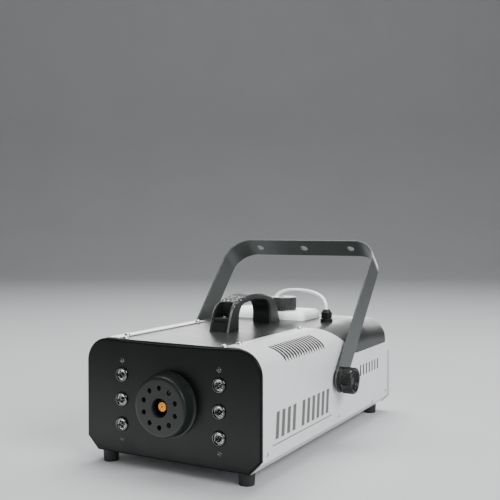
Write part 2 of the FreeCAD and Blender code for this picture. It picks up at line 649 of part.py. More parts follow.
def make_knob(label, side):
    """Clamp knob: ribbed and scalloped body with a dished face, its stud and its washer."""
    body = new_body(label + "_grip")
    sk = sketch_on(body, "YZ")
    reach = knob_profile(sk, d.knob_radius)
    pad = feature(body, "Pad", sk, "knob_length")
    doc.recompute()
    far = [f"Edge{i}" for i, e in enumerate(pad.Shape.Edges, start=1)
           if all(v.Point.x > d.knob_length - 1e-3 for v in e.Vertexes)]
    soft = body.newObject("PartDesign::Fillet", label + "_rim")
    soft.Base = (pad, far)
    soft.Radius = 2.0
    dish = sketch_on(body, "YZ", d.knob_length)
    circle(dish, 0, 0, "knob_radius - 6")
    sunk = feature(body, "Pocket", dish, "3.5")
    seat = sketch_on(body, "YZ", 0)
    circle(seat, 0, 0, "stud_radius")
    blind = feature(body, "Pocket", seat, "8", reverse=True)
    body.Tip = blind
    tools = []
    for k in range(3):
        first = KNOB_SCALLOP + 120.0 * k + reach + 6
        last = first + 108.0 - 2 * reach
        count = 7
        for i in range(count):
            angle = first + (last - first) * i / (count - 1)
            y, z = arc_point((0, 0), d.knob_radius + 0.35, angle)
            groove = doc.addObject("Part::Cylinder", f"{label}_groove_{k}_{i}")
            groove.Radius, groove.Height = 1.0, d.knob_length - 3.5
            groove.Placement = Placement(Vector(0, y, z), AXIS_TURN["X"])
            tools.append(groove)
    grip = cut(label, body, tools)
    base = d.case_half + d.yoke_gap + d.yoke_thick + d.play + d.washer_thick
    turn = Rotation() if side > 0 else Rotation(Vector(0, 0, 1), 180)
    put(grip, (f"{side * base}", "pivot_from_front", "pivot_height"), turn)
    node(label, grip)
    start = "case_half + yoke_gap + yoke_thick + play"
    low = start if side > 0 else f"-({start} + washer_thick)"
    disc = rod(label + "_washer_disc", "knob_radius - 1", "washer_thick",
               (low, "pivot_from_front", "pivot_height"), "X")
    hole = rod(label + "_washer_hole", "stud_radius", "20",
               (f"{side}*130 - 10", "pivot_from_front", "pivot_height"), "X")
    node(label + "_washer", cut(label + "_washer", disc, [hole]))
    inside, outside = "case_half - 14", f"{base + 8}"
    low = inside if side > 0 else f"-({outside})"
    node(label + "_stud", rod(label + "_stud", "stud_radius", f"{outside} - ({inside})",
                              (low, "pivot_from_front", "pivot_height"), "X"))


def make_pivot_parts():
    """Spacer discs between case and yoke, and the nuts welded inside the covers."""
    spacers, nuts = [], []
    for side in (-1, 1):
        low = "case_half" if side > 0 else "-(case_half + yoke_gap - play)"
        disc = rod(f"spacer_disc_{side + 1}", "spacer_radius", "yoke_gap - play",
                   (low, "pivot_from_front", "pivot_height"), "X")
        hole = rod(f"spacer_hole_{side + 1}", "stud_radius + 0.3", "20",
                   (f"{side}*case_half - 10", "pivot_from_front", "pivot_height"), "X")
        spacers.append(cut(f"spacer_{side + 1}", disc, [hole]))
        low = "case_half - sheet - 8" if side > 0 else "-(case_half - sheet)"
        prism = doc.addObject("Part::Prism", f"nut_hexagon_{side + 1}")
        prism.Polygon, prism.Circumradius, prism.Height = 6, 8.0, 8.0
        put(prism, (low, "pivot_from_front", "pivot_height"), AXIS_TURN["X"])
        bore = rod(f"nut_bore_{side + 1}", "stud_radius + 0.06", "20",
                   (f"{side}*(case_half - 6) - 10", "pivot_from_front", "pivot_height"), "X")
        nuts.append(cut(f"nut_{side + 1}", prism, [bore]))
    node("yoke_spacers", group("yoke_spacers", spacers))
    node("stud_nuts", group("stud_nuts", nuts))


# ---------------------------------------------------------------- handle

def arch(top_radius, top_turn, side_radius, lean, rise):
    """Points of half an arch: crown arc's end, shoulder's centre, shoulder's end, and foot.

    The crown is an arc of top_radius about a point below it, the leg leans by lean degrees.
    """
    crown = (0.0, rise - top_radius)
    joint = arc_point(crown, top_radius, 90 - top_turn)
    side = arc_point(joint, side_radius, 270 - top_turn)
    leg_top = arc_point(side, side_radius, lean)
    foot = (leg_top[0] + leg_top[1] * math.tan(math.radians(lean)), 0.0)
    return joint, side, leg_top, foot


def mirrored(point):
    return (-point[0], point[1])


POCKET_SEAT = 17.5


def make_handle():
    """Carry handle: arch along Y with leaning legs and a screw pocket in each leg."""
    body = new_body("handle_arch")
    sk = sketch_on(body, "YZ")
    top_r, side_r, lean, turn = 180.0, 30.0, 20.0, 15.2
    joint, side, foot_joint, foot = arch(top_r, turn, side_r, lean, d.handle_height)
    grip, gap, gap_r = 8.5, d.handle_gap, 20.0
    gap_top_r = top_r - grip
    gap_turn = math.degrees(math.asin((gap - gap_r) / (gap_top_r - gap_r)))
    in_joint, in_side, in_foot, gap_foot = arch(gap_top_r, gap_turn, gap_r, 0.0,
                                                d.handle_height - grip)
    outline(sk, foot, [
        foot_joint, arc_step(side, side_r, lean, 90 - turn),
        ((0.0, d.handle_height), mirrored(joint)),
        arc_step(mirrored(side), side_r, 90 + turn, 180 - lean), mirrored(foot),
        mirrored(gap_foot), mirrored(in_foot),
        arc_step(mirrored(in_side), gap_r, 180, 90 + gap_turn),
        ((0.0, d.handle_height - grip), in_joint),
        arc_step(in_side, gap_r, 90 - gap_turn, 0), gap_foot])
    pad = feature(body, "Pad", sk, "handle_width", midplane=True)
    doc.recompute()
    half = d.handle_width / 2
    rims = [f"Edge{i}" for i, e in enumerate(pad.Shape.Edges, start=1)
            if all(abs(abs(v.Point.x) - half) < 1e-3 for v in e.Vertexes)
            and not all(v.Point.z < 1e-3 for v in e.Vertexes)
            and abs(e.Vertexes[0].Point.x - e.Vertexes[-1].Point.x) < 1e-3]
    soft = body.newObject("PartDesign::Chamfer", "handle_bevel")
    soft.Base = (pad, rims)
    soft.Size = 2.0
    tools = []
    for i, way in enumerate((-1, 1)):
        pocket = doc.addObject("Part::Box", f"handle_pocket_{i}")
        pocket.Length, pocket.Width, pocket.Height = 22.0, 31.0, 20.0
        near = -82.0 if way < 0 else 51.0
        pocket.Placement = Placement(Vector(-11.0, near, POCKET_SEAT), Rotation())
        arched = round_edges(f"handle_pocket_arch_{i}", pocket, 4.0,
                             lambda e: e.BoundBox.ZMin > POCKET_SEAT + 19 and e.BoundBox.YLength > 20)
        relief = doc.addObject("Part::Box", f"handle_relief_{i}")
        relief.Length, relief.Width, relief.Height = 21.0, 20.0, 15.0
        slide = foot[0] - 1.2
        turn_in = Rotation(Vector(1, 0, 0), way * lean)
        reach = 0.0 if way > 0 else -20.0
        relief.Placement = Placement(Vector(-10.5, way * slide, 0.0)
                                     + turn_in.multVec(Vector(0, reach, 0)), turn_in)
        hole = doc.addObject("Part::Cylinder", f"handle_screw_bore_{i}")
        hole.Radius, hole.Height = 2.2, 30.0
        hole.Placement = Placement(Vector(0, way * 58.0, -5.0), Rotation())
        tools += [arched, relief, hole]
    shaped = cut("handle", body, tools)
    put(shaped, ("0", "handle_middle", "deck"))
    node("handle", shaped)
    node("handle_screws", group("handle_screws", [
        screw(f"handle_screw_{i}", ("0", f"handle_middle + {at}", f"deck + {POCKET_SEAT}"), (0, 0, 1),
              4.2, 2.0, 22.0, 2.2) for i, at in enumerate((-58.0, 58.0))]))


# ---------------------------------------------------------------- tank, cap and hose

def rounded_block(name, size, at, radius):
    raw = block(name + "_raw", size, at)
    return round_edges(name, raw, radius, lambda edge: True)


def make_tank():
    """White lift-out fluid tank: hollow, with rounded edges and a filler neck."""
    outer = rounded_block("tank_outside", ("tank_right - tank_left", "tank_rear - tank_front",
                                           "tank_high - tank_low"),
                          ("tank_left", "tank_front", "tank_low"), d.tank_round)
    inner = rounded_block("tank_inside", ("tank_right - tank_left - 2*tank_wall",
                                          "tank_rear - tank_front - 2*tank_wall",
                                          "tank_high - tank_low - 2*tank_wall"),
                          ("tank_left + tank_wall", "tank_front + tank_wall",
                           "tank_low + tank_wall"), d.tank_round - d.tank_wall)
    neck = rod("tank_neck", "neck_radius", "14", ("cap_across", "cap_from_front",
                                                  "tank_high - 0.5"))
    bore = rod("neck_bore", "neck_radius - 2", "30", ("cap_across", "cap_from_front",
                                                      "tank_high - 12"))
    port = rod("fitting_bore", "3.5", "12", (HOSE_PORT[0], HOSE_PORT[1], "tank_high - 6"))
    node("fluid_tank", cut("fluid_tank", fuse("tank_with_neck", [outer, neck]),
                           [inner, bore, port]))
    skirt = rod("cap_skirt", "cap_radius", "cap_height",
                ("cap_across", "cap_from_front", "tank_high + 0.6"))
    void = rod("cap_void", "neck_radius + 0.5", "cap_height - 3",
               ("cap_across", "cap_from_front", "tank_high + 0.3"))
    grooves = []
    for i in range(28):
        angle = 2 * math.pi * i / 28
        x, y = (d.cap_radius + 0.5) * math.cos(angle), (d.cap_radius + 0.5) * math.sin(angle)
        grooves.append(rod(f"cap_groove_{i}", "1.15", "cap_height - 4",
                           (f"cap_across + {x:.4f}", f"cap_from_front + {y:.4f}",
                            "tank_high + 2")))
    trimmed = cut("tank_cap_blank", skirt, [void] + grooves)
    node("tank_cap", round_edges("tank_cap", trimmed, 1.2, lambda e: e.BoundBox.ZMin > height(
        d.tank_high + d.cap_height + 0.5) and e.BoundBox.XLength > 20))
    seal = rod("cap_seal_disc", "neck_radius - 0.2", "1.2",
               ("cap_across", "cap_from_front", "tank_high + 14.6"))
    node("cap_seal", seal)


HOSE_PORT = ("-34", "333")


def make_hose():
    """Suction hose from the fitting on the tank to the gland on the deck, and what it joins."""
    route = [(75.0, 290.0, 150.5), (75.0, 290.0, 161.0), (70.7, 291.7, 171.5),
             (60.0, 296.0, 177.8), (44.0, 302.4, 181.2), (22.0, 311.0, 182.0),
             (-4.0, 321.3, 180.3), (-20.5, 327.6, 174.5), (-30.0, 331.5, 166.5),
             (-34.0, 333.0, 156.5)]
    points = [(x, from_front(y), height(z)) for x, y, z in route]
    tube("suction_hose", points, d.hose_radius)
    collar = rod("fitting_collar", "5", "5", (HOSE_PORT[0], HOSE_PORT[1], "tank_high"))
    spigot = rod("fitting_spigot", "3.4", "8", (HOSE_PORT[0], HOSE_PORT[1], "tank_high - 6"))
    tip = cone("fitting_tip", "4", "2.8", "2", (HOSE_PORT[0], HOSE_PORT[1], "tank_high + 5"))
    bore = rod("fitting_hole", "1.2", "30", (HOSE_PORT[0], HOSE_PORT[1], "tank_high - 10"))
    node("hose_fitting", cut("hose_fitting", fuse("fitting_body", [collar, spigot, tip]), [bore]))
    pickup = rod("pickup_outside", "2.5", "tank_high - tank_low - 6 - 14 - tank_wall",
                 (HOSE_PORT[0], HOSE_PORT[1], "tank_low + tank_wall + 14"))
    pickup_bore = rod("pickup_bore", "1.5", "200",
                      (HOSE_PORT[0], HOSE_PORT[1], "tank_low + tank_wall + 13"))
    node("pickup_tube", cut("pickup_tube", pickup, [pickup_bore]))
    node("pickup_filter", rod("pickup_filter", "6", "12",
                              (HOSE_PORT[0], HOSE_PORT[1], "tank_low + tank_wall + 2")))
    plate = rod("gland_flange", "9", "4.3", ("gland_across", "gland_from_front", "deck"))
    stem = rod("gland_stem", "5.8", "16", ("gland_across", "gland_from_front", "deck - 9"))
    hole = rod("gland_bore", "hose_radius + 0.4", "60",
               ("gland_across", "gland_from_front", "deck - 20"))
    node("hose_gland", cut("hose_gland", fuse("gland_body", [plate, stem]), [hole]))
    hexagon = doc.addObject("Part::Prism", "gland_nut_hexagon")
    hexagon.Polygon, hexagon.Circumradius, hexagon.Height = 6, 8.6, 8.6
    put(hexagon, ("gland_across", "gland_from_front", "deck + 5.2"))
    dome = cone("gland_nut_dome", "7.2", "4.8", "4",
                ("gland_across", "gland_from_front", "deck + 13.8"))
    nut_bore = rod("gland_nut_bore", "hose_radius + 0.4", "60",
                   ("gland_across", "gland_from_front", "deck - 20"))
    stem_room = rod("gland_stem_room", "5.8", "20",
                    ("gland_across", "gland_from_front", "deck - 13"))
    node("gland_nut", cut("gland_nut", fuse("gland_nut_body", [hexagon, dome]),
                          [nut_bore, stem_room]))


# ---------------------------------------------------------------- inside the case

def make_heater():
    """Cast heating block on two brackets, wrapped in insulation, with its safety parts."""
    block_shape = block("heater_cast", ("74", "130", "44"), ("-37", "24", "45.6"))
    channel = rod("heater_channel", "3", "110", ("0", "20", "nozzle_height"), "Y")
    elements = [rod(f"heater_element_hole_{i}", "5", "140", (x, "18", "56"), "Y")
                for i, x in enumerate(("-22", "22"))]
    node("heater_block", cut("heater_block", block_shape, [channel] + elements))
    rods = [rod(f"heater_rod_{i}", "5", "138", (x, "20", "56"), "Y")
            for i, x in enumerate(("-22", "22"))]
    node("heating_rods", group("heating_rods", rods))
    wool = block("wool_outside", ("94", "118", "60"), ("-47", "32", "37.6"))
    wool_void = block("wool_inside", ("74", "130", "44"), ("-37", "24", "45.6"))
    node("heater_insulation", cut("heater_insulation", wool, [wool_void]))
    brackets = []
    for i, y in enumerate((42.0, 138.0)):
        parts = [block(f"bracket_{i}_seat", ("94", "8", "2"), ("-47", f"{y}", "35.6"))]
        for j, x in enumerate((-47.0, 45.0)):
            parts.append(block(f"bracket_{i}_leg_{j}", ("2", "8", "33.6"), (f"{x}", f"{y}", "3")))
        brackets.append(fuse(f"bracket_{i}", parts))
    node("heater_brackets", group("heater_brackets", brackets))
    make_heater_guards()


def make_heater_guards():
    """Snap-disc thermostat and thermal fuse on the bare rear end of the heating block."""
    disc = rod("thermostat_disc", "8", "5", ("-18", "154", "76"), "Y")
    stem = rod("thermostat_stem", "5", "9", ("-18", "154", "76"), "Y")
    node("thermostat", fuse("thermostat", [disc, stem]))
    node("thermal_fuse", rod("thermal_fuse", "3.5", "12", ("18", "154", "76"), "Y"))


def make_pump():
    """Solenoid piston pump on a bracket, fed from the gland and feeding the heater."""
    coil = rod("pump_coil", "20", "36", ("77", "262", "40"), "Y")
    core = rod("pump_core", "8", "66", ("77", "247", "40"), "Y")
    saddle = block("pump_saddle", ("44", "38", "3"), ("77 - 22", "261", "17"))
    node("pump", fuse("pump", [coil, core, saddle]))
    foot = block("pump_bracket_foot", ("50", "44", "2"), ("77 - 25", "258", "3"))
    risers = [block(f"pump_bracket_riser_{i}", ("50", "2", "14"), ("77 - 25", y, "3"))
              for i, y in enumerate(("258", "300"))]
    node("pump_bracket", fuse("pump_bracket", [foot] + risers))


def make_tubes():
    """Tube down from the gland to the pump, and the tube from the pump to the heating block."""
    inlet = [(75.0, 290.0, 130.4), (75.0, 290.0, 115.0), (75.3, 297.0, 101.0),
             (75.8, 309.0, 89.0), (76.4, 324.0, 80.0), (77.0, 338.0, 70.0),
             (77.0, 346.0, 56.0), (77.0, 341.0, 44.0), (77.0, 326.0, 40.0),
             (77.0, 313.0, 40.0)]
    outlet = [(77.0, 247.0, 40.0), (77.0, 231.0, 40.0), (70.0, 215.0, 43.0),
              (56.0, 203.0, 49.0), (37.0, 195.0, 56.0), (18.0, 188.0, 64.0),
              (0.0, 172.0, 67.6), (0.0, 154.0, 67.6)]
    for label, route in (("pump_inlet_tube", inlet), ("pump_outlet_tube", outlet)):
        tube(label, [(x, from_front(y), height(z)) for x, y, z in route], 2.0)


def make_electronics():
    """Control board on stand-offs with its transformer, behind the tank."""
    plate = block("board_plate", ("120", "50", "1.6"), ("-30", "364", "16"))
    parts = [plate, block("board_relay", ("20", "16", "15"), ("-20", "370", "17.6")),
             block("board_heatsink", ("36", "10", "25"), ("10", "396", "17.6")),
             rod("board_capacitor", "6", "20", ("62", "376", "17.6")),
             block("board_terminals", ("40", "9", "10"), ("40", "400", "17.6"))]
    node("control_board", fuse("control_board", parts))
    node("board_standoffs", group("board_standoffs", [
        rod(f"standoff_{i}_{j}", "3", "13", (x, y, "3"))
        for i, x in enumerate(("-24", "84")) for j, y in enumerate(("370", "408"))]))
    core = block("transformer_core", ("46", "30", "38"), ("-106 + 9", "366", "3"))
    coil = block("transformer_coil", ("30", "42", "26"), ("-106 + 17", "360", "9"))
    node("transformer", fuse("transformer", [core, coil]))


def make_tank_cradle():
    """Open steel cradle that stands on the tray and holds the tank's foot."""
    outer = block("cradle_outside", ("tank_right - tank_left + 6", "tank_rear - tank_front + 6",
                                     "27"), ("tank_left - 3", "tank_front - 3", "2*sheet"))
    inner = block("cradle_inside", ("tank_right - tank_left + 3", "tank_rear - tank_front + 3",
                                    "40"), ("tank_left - 1.5", "tank_front - 1.5", "tank_low"))
    under = block("cradle_window", ("tank_right - tank_left - 40", "tank_rear - tank_front - 24",
                                    "40"), ("tank_left + 20", "tank_front + 12", "0"))
    node("tank_cradle", cut("tank_cradle", outer, [inner, under]))


# ---------------------------------------------------------------- rear fittings, feet, screws

def make_rear_fittings():
    """Mains inlet, rocker switch, fuse holder with its cap, and the remote-control socket."""
    face = "case_length + rear_thick"
    flange = block("inlet_flange", ("31", "2.5", "23"), ("-80 - 15.5", face, "38 - 11.5"))
    shell = block("inlet_shell", ("27", "24", "19"), ("-80 - 13.5", f"{face} - 21", "38 - 9.5"))
    cavity = block("inlet_cavity", ("23", "20", "15"), ("-80 - 11.5", f"{face} - 16", "38 - 7.5"))
    pins = [block(f"inlet_pin_{i}", ("2", "14", "4"), (f"-81 + {x}", f"{face} - 18", z))
            for i, (x, z) in enumerate(((-7.0, "33"), (0.0, "31.5"), (7.0, "33")))]
    hollow = cut("inlet_hollow", fuse("inlet_body", [flange, shell]), [cavity])
    node("mains_inlet", fuse("mains_inlet", [hollow] + pins))
    frame = block("switch_flange", ("23", "2", "17"), ("-38 - 11.5", face, "38 - 8.5"))
    can = block("switch_can", ("19", "22", "13"), ("-38 - 9.5", f"{face} - 20", "38 - 6.5"))
    well = block("switch_well", ("15", "12", "11"), ("-38 - 7.5", f"{face} - 8", "38 - 5.5"))
    pivot = rod("switch_pivot_hole", "1.1", "18", ("-38 - 9", ROCKER_AXIS, "38"), "X")
    node("switch_housing", cut("switch_housing", fuse("switch_body", [frame, can]),
                               [well, pivot]))
    make_rocker()
    collar = rod("fuse_collar", "8", "2.5", ("-8", face, "38"), "Y")
    barrel = rod("fuse_barrel", "6", "26", ("-8", f"{face} - 24", "38"), "Y")
    bore = rod("fuse_bore", "4.4", "40", ("-8", f"{face} - 18", "38"), "Y")
    node("fuse_holder", cut("fuse_holder", fuse("fuse_body", [collar, barrel]), [bore]))
    grip = rod("fuse_cap_grip", "6", "rear_reach - 2.9", ("-8", f"{face} + 2.9", "38"), "Y")
    plug = rod("fuse_cap_plug", "4", "16", ("-8", f"{face} - 12", "38"), "Y")
    slot = block("fuse_cap_slot", ("8", "5", "1.4"), ("-12", f"{face} + rear_reach - 1.4",
                                                      "37.3"))
    node("fuse_cap", cut("fuse_cap", fuse("fuse_cap_body", [grip, plug]), [slot]))
    ring = rod("remote_ring", "12", "3", ("60", face, "38"), "Y")
    sleeve = rod("remote_sleeve", "9", "24", ("60", f"{face} - 21", "38"), "Y")
    mouth = rod("remote_mouth", "7.2", "20", ("60", f"{face} - 14", "38"), "Y")
    contacts = [rod(f"remote_pin_{i}", "0.9", "10",
                    (f"{60 + 3.6 * math.cos(math.radians(a)):.3f}", f"{face} - 16",
                     f"{38 + 3.6 * math.sin(math.radians(a)):.3f}"), "Y")
                for i, a in enumerate((0, 90, 180, 270))]
    socket = cut("remote_hollow", fuse("remote_body", [ring, sleeve]), [mouth])
    node("remote_socket", fuse("remote_socket", [socket] + contacts))


ROCKER_AXIS = "case_length + rear_thick + 0.6"


def make_rocker():
    """Rocker of the power switch: a shallow V on its pivot pin, pressed in on the off side."""
    body = new_body("rocker_paddle")
    sk = sketch_on(body, "YZ")
    half, back, edge, middle = 5.0, -2.0, 3.4, 1.6
    outline(sk, (back, -half), [(edge, -half), (middle, 0.0), (edge, half), (back, half)])
    feature(body, "Pad", sk, "14.4", midplane=True)
    put(body, ("-38", ROCKER_AXIS, "38"), Rotation(Vector(1, 0, 0), d.rocker_lean))
    pin = rod("rocker_pin", "1", "17.4", ("-38 - 8.7", ROCKER_AXIS, "38"), "X")
    node("switch_rocker", fuse("switch_rocker", [body, pin]))


def make_fasteners():
    tops = [screw(f"top_screw_{i}", (x, y, "case_height"), (0, 0, 1), 4.0, 1.6, 8.0, 3.0)
            for i, (x, y) in enumerate(TOP_SCREWS)]
    tops += [screw(f"deck_screw_{i}", (x, y, "deck"), (0, 0, 1), 4.0, 1.6, 8.0, 3.0)
             for i, (x, y) in enumerate(DECK_SCREWS)]
    node("cover_top_screws", group("cover_top_screws", tops))
    sides = []
    for i, (y, z) in enumerate(SIDE_SCREWS):
        for j, side in enumerate((-1, 1)):
            sides.append(screw(f"side_screw_{i}_{j}", (f"{side}*case_half", str(y), str(z)),
                               (side, 0, 0), 2.6, 1.6, 8.0, 1.3))
    node("cover_side_screws", group("cover_side_screws", sides))
    rears = [screw(f"rear_screw_{i}", (x, "case_length + rear_thick", z), (0, 1, 0),
                   3.0, 1.5, 10.0) for i, (x, z) in enumerate(REAR_SCREWS)]
    node("rear_panel_screws", group("rear_panel_screws", rears))
    feet, bolts = [], []
    for i, side in enumerate((-1, 1)):
        for j, y in enumerate(("foot_first", "foot_last")):
            x = f"{side}*foot_across"
            pad = cone(f"foot_{i}_{j}_pad", "foot_radius - 1", "foot_radius", "foot_height",
                       (x, y, "0 - foot_height"))
            well = rod(f"foot_{i}_{j}_well", "4.2", "9", (x, y, "0 - foot_height - 1"))
            hole = rod(f"foot_{i}_{j}_hole", "2", "30", (x, y, "0 - foot_height - 5"))
            feet.append(cut(f"foot_{i}_{j}", pad, [well, hole]))
            bolts.append(screw(f"foot_bolt_{i}_{j}", (x, y, "0 - foot_height + 8"),
                               (0, 0, -1), 3.8, 2.0, 13.0, 2.4))
    node("rubber_feet", group("rubber_feet", feet))
    node("foot_screws", group("foot_screws", bolts))


# ---------------------------------------------------------------- build, check and write

def build():
    make_top_casing()
    make_cover("left_cover", -1)
    make_cover("right_cover", 1)
    make_base_tray()
    make_front_panel()
    make_rear_panel()
    make_nozzle()
    make_lamps()
    make_yoke()
    make_knob("left_knob", -1)
    make_knob("right_knob", 1)
    make_pivot_parts()
    make_handle()
    make_tank()
    make_hose()
    make_heater()
    make_pump()
    make_tubes()
    make_electronics()
    make_tank_cradle()
    make_rear_fittings()
    make_fasteners()
    doc.recompute()


def check():
    for obj in doc.Objects:
        bad = [state for state in obj.State if state in ("Invalid", "Error")]
        if bad:
            raise RuntimeError(f"{obj.Label}: {bad}")
    for label, obj in NODES.items():
        shape = obj.Shape
        if shape.isNull() or not shape.isValid() or not shape.Solids:
            raise RuntimeError(f"{label}: null, invalid or no solid")


def write():
    os.makedirs("parts", exist_ok=True)
    for old in os.listdir("parts"):
        if old.endswith(".step") and old[:-5] not in NODES:
            os.remove(os.path.join("parts", old))
    for label, obj in NODES.items():
        obj.Shape.exportStep(f"parts/{label}.step")
    print(f"{len(NODES)} sub-parts written")


build()
check()
write()
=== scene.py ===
import json
import math

import bmesh
import bpy
from mathutils import Matrix, Vector


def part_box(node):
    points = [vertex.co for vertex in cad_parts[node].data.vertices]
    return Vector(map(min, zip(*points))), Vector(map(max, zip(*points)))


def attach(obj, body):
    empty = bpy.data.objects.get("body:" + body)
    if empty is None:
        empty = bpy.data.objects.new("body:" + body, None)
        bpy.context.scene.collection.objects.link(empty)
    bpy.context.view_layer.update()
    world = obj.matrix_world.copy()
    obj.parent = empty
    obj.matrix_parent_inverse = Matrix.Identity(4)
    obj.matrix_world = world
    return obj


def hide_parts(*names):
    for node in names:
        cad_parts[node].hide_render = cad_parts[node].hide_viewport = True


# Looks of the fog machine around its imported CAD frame. Lengths are metres; MM turns millimetres
# into metres. "From the front" is measured along +Y from the front panel's face, "height" from
# the underside of the case.

MM = 0.001
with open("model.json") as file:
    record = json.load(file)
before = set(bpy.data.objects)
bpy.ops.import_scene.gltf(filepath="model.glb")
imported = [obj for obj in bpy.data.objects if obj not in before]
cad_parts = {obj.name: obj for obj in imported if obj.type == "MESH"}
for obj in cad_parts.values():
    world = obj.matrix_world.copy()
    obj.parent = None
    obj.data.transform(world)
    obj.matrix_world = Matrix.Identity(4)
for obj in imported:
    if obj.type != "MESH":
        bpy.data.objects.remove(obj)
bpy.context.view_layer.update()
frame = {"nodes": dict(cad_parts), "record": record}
panel_low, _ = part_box("front_panel")
CASE_ORIGIN = Vector((0.0, panel_low.y, panel_low.z))
LAMP_ACROSS, LAMP_HEIGHT, LAMP_PITCH = 68.7 * MM, 66.7 * MM, 30.2 * MM


def at(x, from_front, height):
    """Point in the row frame from millimetres across, from the front and above the case."""
    return CASE_ORIGIN + Vector((x, from_front, height)) * MM


# ------------------------------------------------------------------ materials

BEVEL_SAMPLES = 6
CREVICE_SHADE_SAMPLES = 8


class Surface:
    """A node material that is put together step by step around one Principled shader."""

    def __init__(self, name, color, roughness, metallic=0.0):
        self.material = bpy.data.materials.new(name)
        self.material.use_nodes = True
        self.tree = self.material.node_tree
        self.shader = self.tree.nodes["Principled BSDF"]
        self.shader.inputs["Base Color"].default_value = (*color, 1.0)
        self.shader.inputs["Roughness"].default_value = roughness
        self.shader.inputs["Metallic"].default_value = metallic
        self.color, self.roughness = color, roughness
        self.normal = None
        coordinates = self.tree.nodes.new("ShaderNodeTexCoord")
        self.place = coordinates.outputs["Object"]

    def node(self, kind, **inputs):
        """A node of a kind, with constants on its sockets."""
        made = self.tree.nodes.new(kind)
        for key, value in inputs.items():
            made.inputs[key.replace("_", " ")].default_value = value
        return made

    def link(self, source, target):
        self.tree.links.new(source, target)

    def set(self, **values):
        """Constants set on the shader's own sockets."""
        for key, value in values.items():
            self.shader.inputs[key.replace("_", " ")].default_value = value
        return self

    def stretched(self, scale):
        """Object coordinates scaled along each axis."""
        mapping = self.node("ShaderNodeMapping")
        mapping.inputs["Scale"].default_value = scale
        self.link(self.place, mapping.inputs["Vector"])
        return mapping.outputs["Vector"]

    def noise(self, size, detail=3.0, stretch=None):
        """Noise whose features are about size metres wide."""
        made = self.node("ShaderNodeTexNoise", Scale=1.0 / size, Detail=detail, Roughness=0.55)
        self.link(self.stretched(stretch) if stretch else self.place, made.inputs["Vector"])
        return made.outputs["Fac"]

    def spread(self, source, low, high, to_low, to_high):
        """The source's range low..high mapped to to_low..to_high, clamped."""
        made = self.node("ShaderNodeMapRange", From_Min=low, From_Max=high, To_Min=to_low,
                         To_Max=to_high)
        self.link(source, made.inputs["Value"])
        return made.outputs["Result"]

    def mix(self, factor, first, second):
        """Colour mix; first and second are colours or sockets."""
        made = self.tree.nodes.new("ShaderNodeMix")
        made.data_type = "RGBA"
        self.link(factor, made.inputs["Factor"])
        for value, socket in ((first, made.inputs["A"]), (second, made.inputs["B"])):
            if isinstance(value, bpy.types.NodeSocket):
                self.link(value, socket)
            else:
                socket.default_value = (*value, 1.0)
        return made.outputs["Result"]

    def tint(self, factor, second):
        """Mixes a second colour over what the base colour holds so far."""
        socket = self.shader.inputs["Base Color"]
        first = socket.links[0].from_socket if socket.links else self.color
        self.link(self.mix(factor, first, second), socket)
        return self

    def mottle(self, size, amount):
        """Slow lighter and darker clouds over the surface."""
        darker = tuple(c * (1.0 - amount) for c in self.color)
        return self.tint(self.spread(self.noise(size), 0.35, 0.65, 0.0, 1.0), darker)

    def uneven_gloss(self, size, amount):
        """Roughness that wanders by amount around its value."""
        wander = self.spread(self.noise(size, detail=4.0), 0.3, 0.7, self.roughness - amount,
                             self.roughness + amount)
        self.link(wander, self.shader.inputs["Roughness"])
        return self

    def relief(self, height, depth):
        """Bump from a 0..1 height, depth metres high."""
        made = self.node("ShaderNodeBump", Distance=depth, Strength=1.0)
        self.link(height, made.inputs["Height"])
        if self.normal:
            self.link(self.normal, made.inputs["Normal"])
        self.normal = made.outputs["Normal"]
        self.link(self.normal, self.shader.inputs["Normal"])
        return self

    def soft_edges(self, radius):
        """Rounds the shading of sharp edges over radius metres."""
        made = self.node("ShaderNodeBevel", Radius=radius)
        made.samples = BEVEL_SAMPLES
        self.normal = made.outputs["Normal"]
        self.link(self.normal, self.shader.inputs["Normal"])
        return self

    def edge_highlight_and_wear(self, radius, color, amount=1.0):
        """Painted highlight and wear: lighter tone on convex or concave edges within radius
        metres.
        """
        bevel = self.node("ShaderNodeBevel", Radius=radius)
        bevel.samples = BEVEL_SAMPLES
        geometry = self.tree.nodes.new("ShaderNodeNewGeometry")
        turn = self.tree.nodes.new("ShaderNodeVectorMath")
        turn.operation = "DOT_PRODUCT"
        self.link(bevel.outputs["Normal"], turn.inputs[0])
        self.link(geometry.outputs["Normal"], turn.inputs[1])
        mask = self.spread(turn.outputs["Value"], 0.93, 0.75, 0.0, amount)
        return self.tint(mask, color)

    def crevice_shade(self, reach, color, amount):
        """Painted shade: darker tone in slots and corners narrower than about reach metres."""
        made = self.node("ShaderNodeAmbientOcclusion", Distance=reach)
        made.samples = CREVICE_SHADE_SAMPLES
        return self.tint(self.spread(made.outputs["AO"], 0.85, 0.35, 0.0, amount), color)

    def parts(self, vector):
        """Sockets for the X, Y and Z of a vector."""
        made = self.tree.nodes.new("ShaderNodeSeparateXYZ")
        self.link(vector, made.inputs["Vector"])
        return made.outputs

    def face_direction(self):
        """Sockets for the X, Y and Z of the direction that the face looks in."""
        geometry = self.tree.nodes.new("ShaderNodeNewGeometry")
        return self.parts(geometry.outputs["True Normal"])

    def math(self, operation, *values):
        """A math node on sockets and numbers."""
        made = self.tree.nodes.new("ShaderNodeMath")
        made.operation = operation
        for value, socket in zip(values, made.inputs):
            if isinstance(value, bpy.types.NodeSocket):
                self.link(value, socket)
            else:
                socket.default_value = value
        return made.outputs["Value"]

    def within(self, source, low, high, soft=0.001):
        """1 where the source lies between low and high, fading to 0 over soft."""
        above = self.spread(source, low - soft, low, 0.0, 1.0)
        return self.math("MULTIPLY", above, self.spread(source, high, high + soft, 1.0, 0.0))

    def along(self, stretch, soft=0.001):
        """1 in a stretch given in millimetres from the front, fading to 0 over soft metres."""
        low, high = (at(0, value, 0).y for value in stretch)
        return self.within(self.parts(self.place)["Y"], low, high, soft)

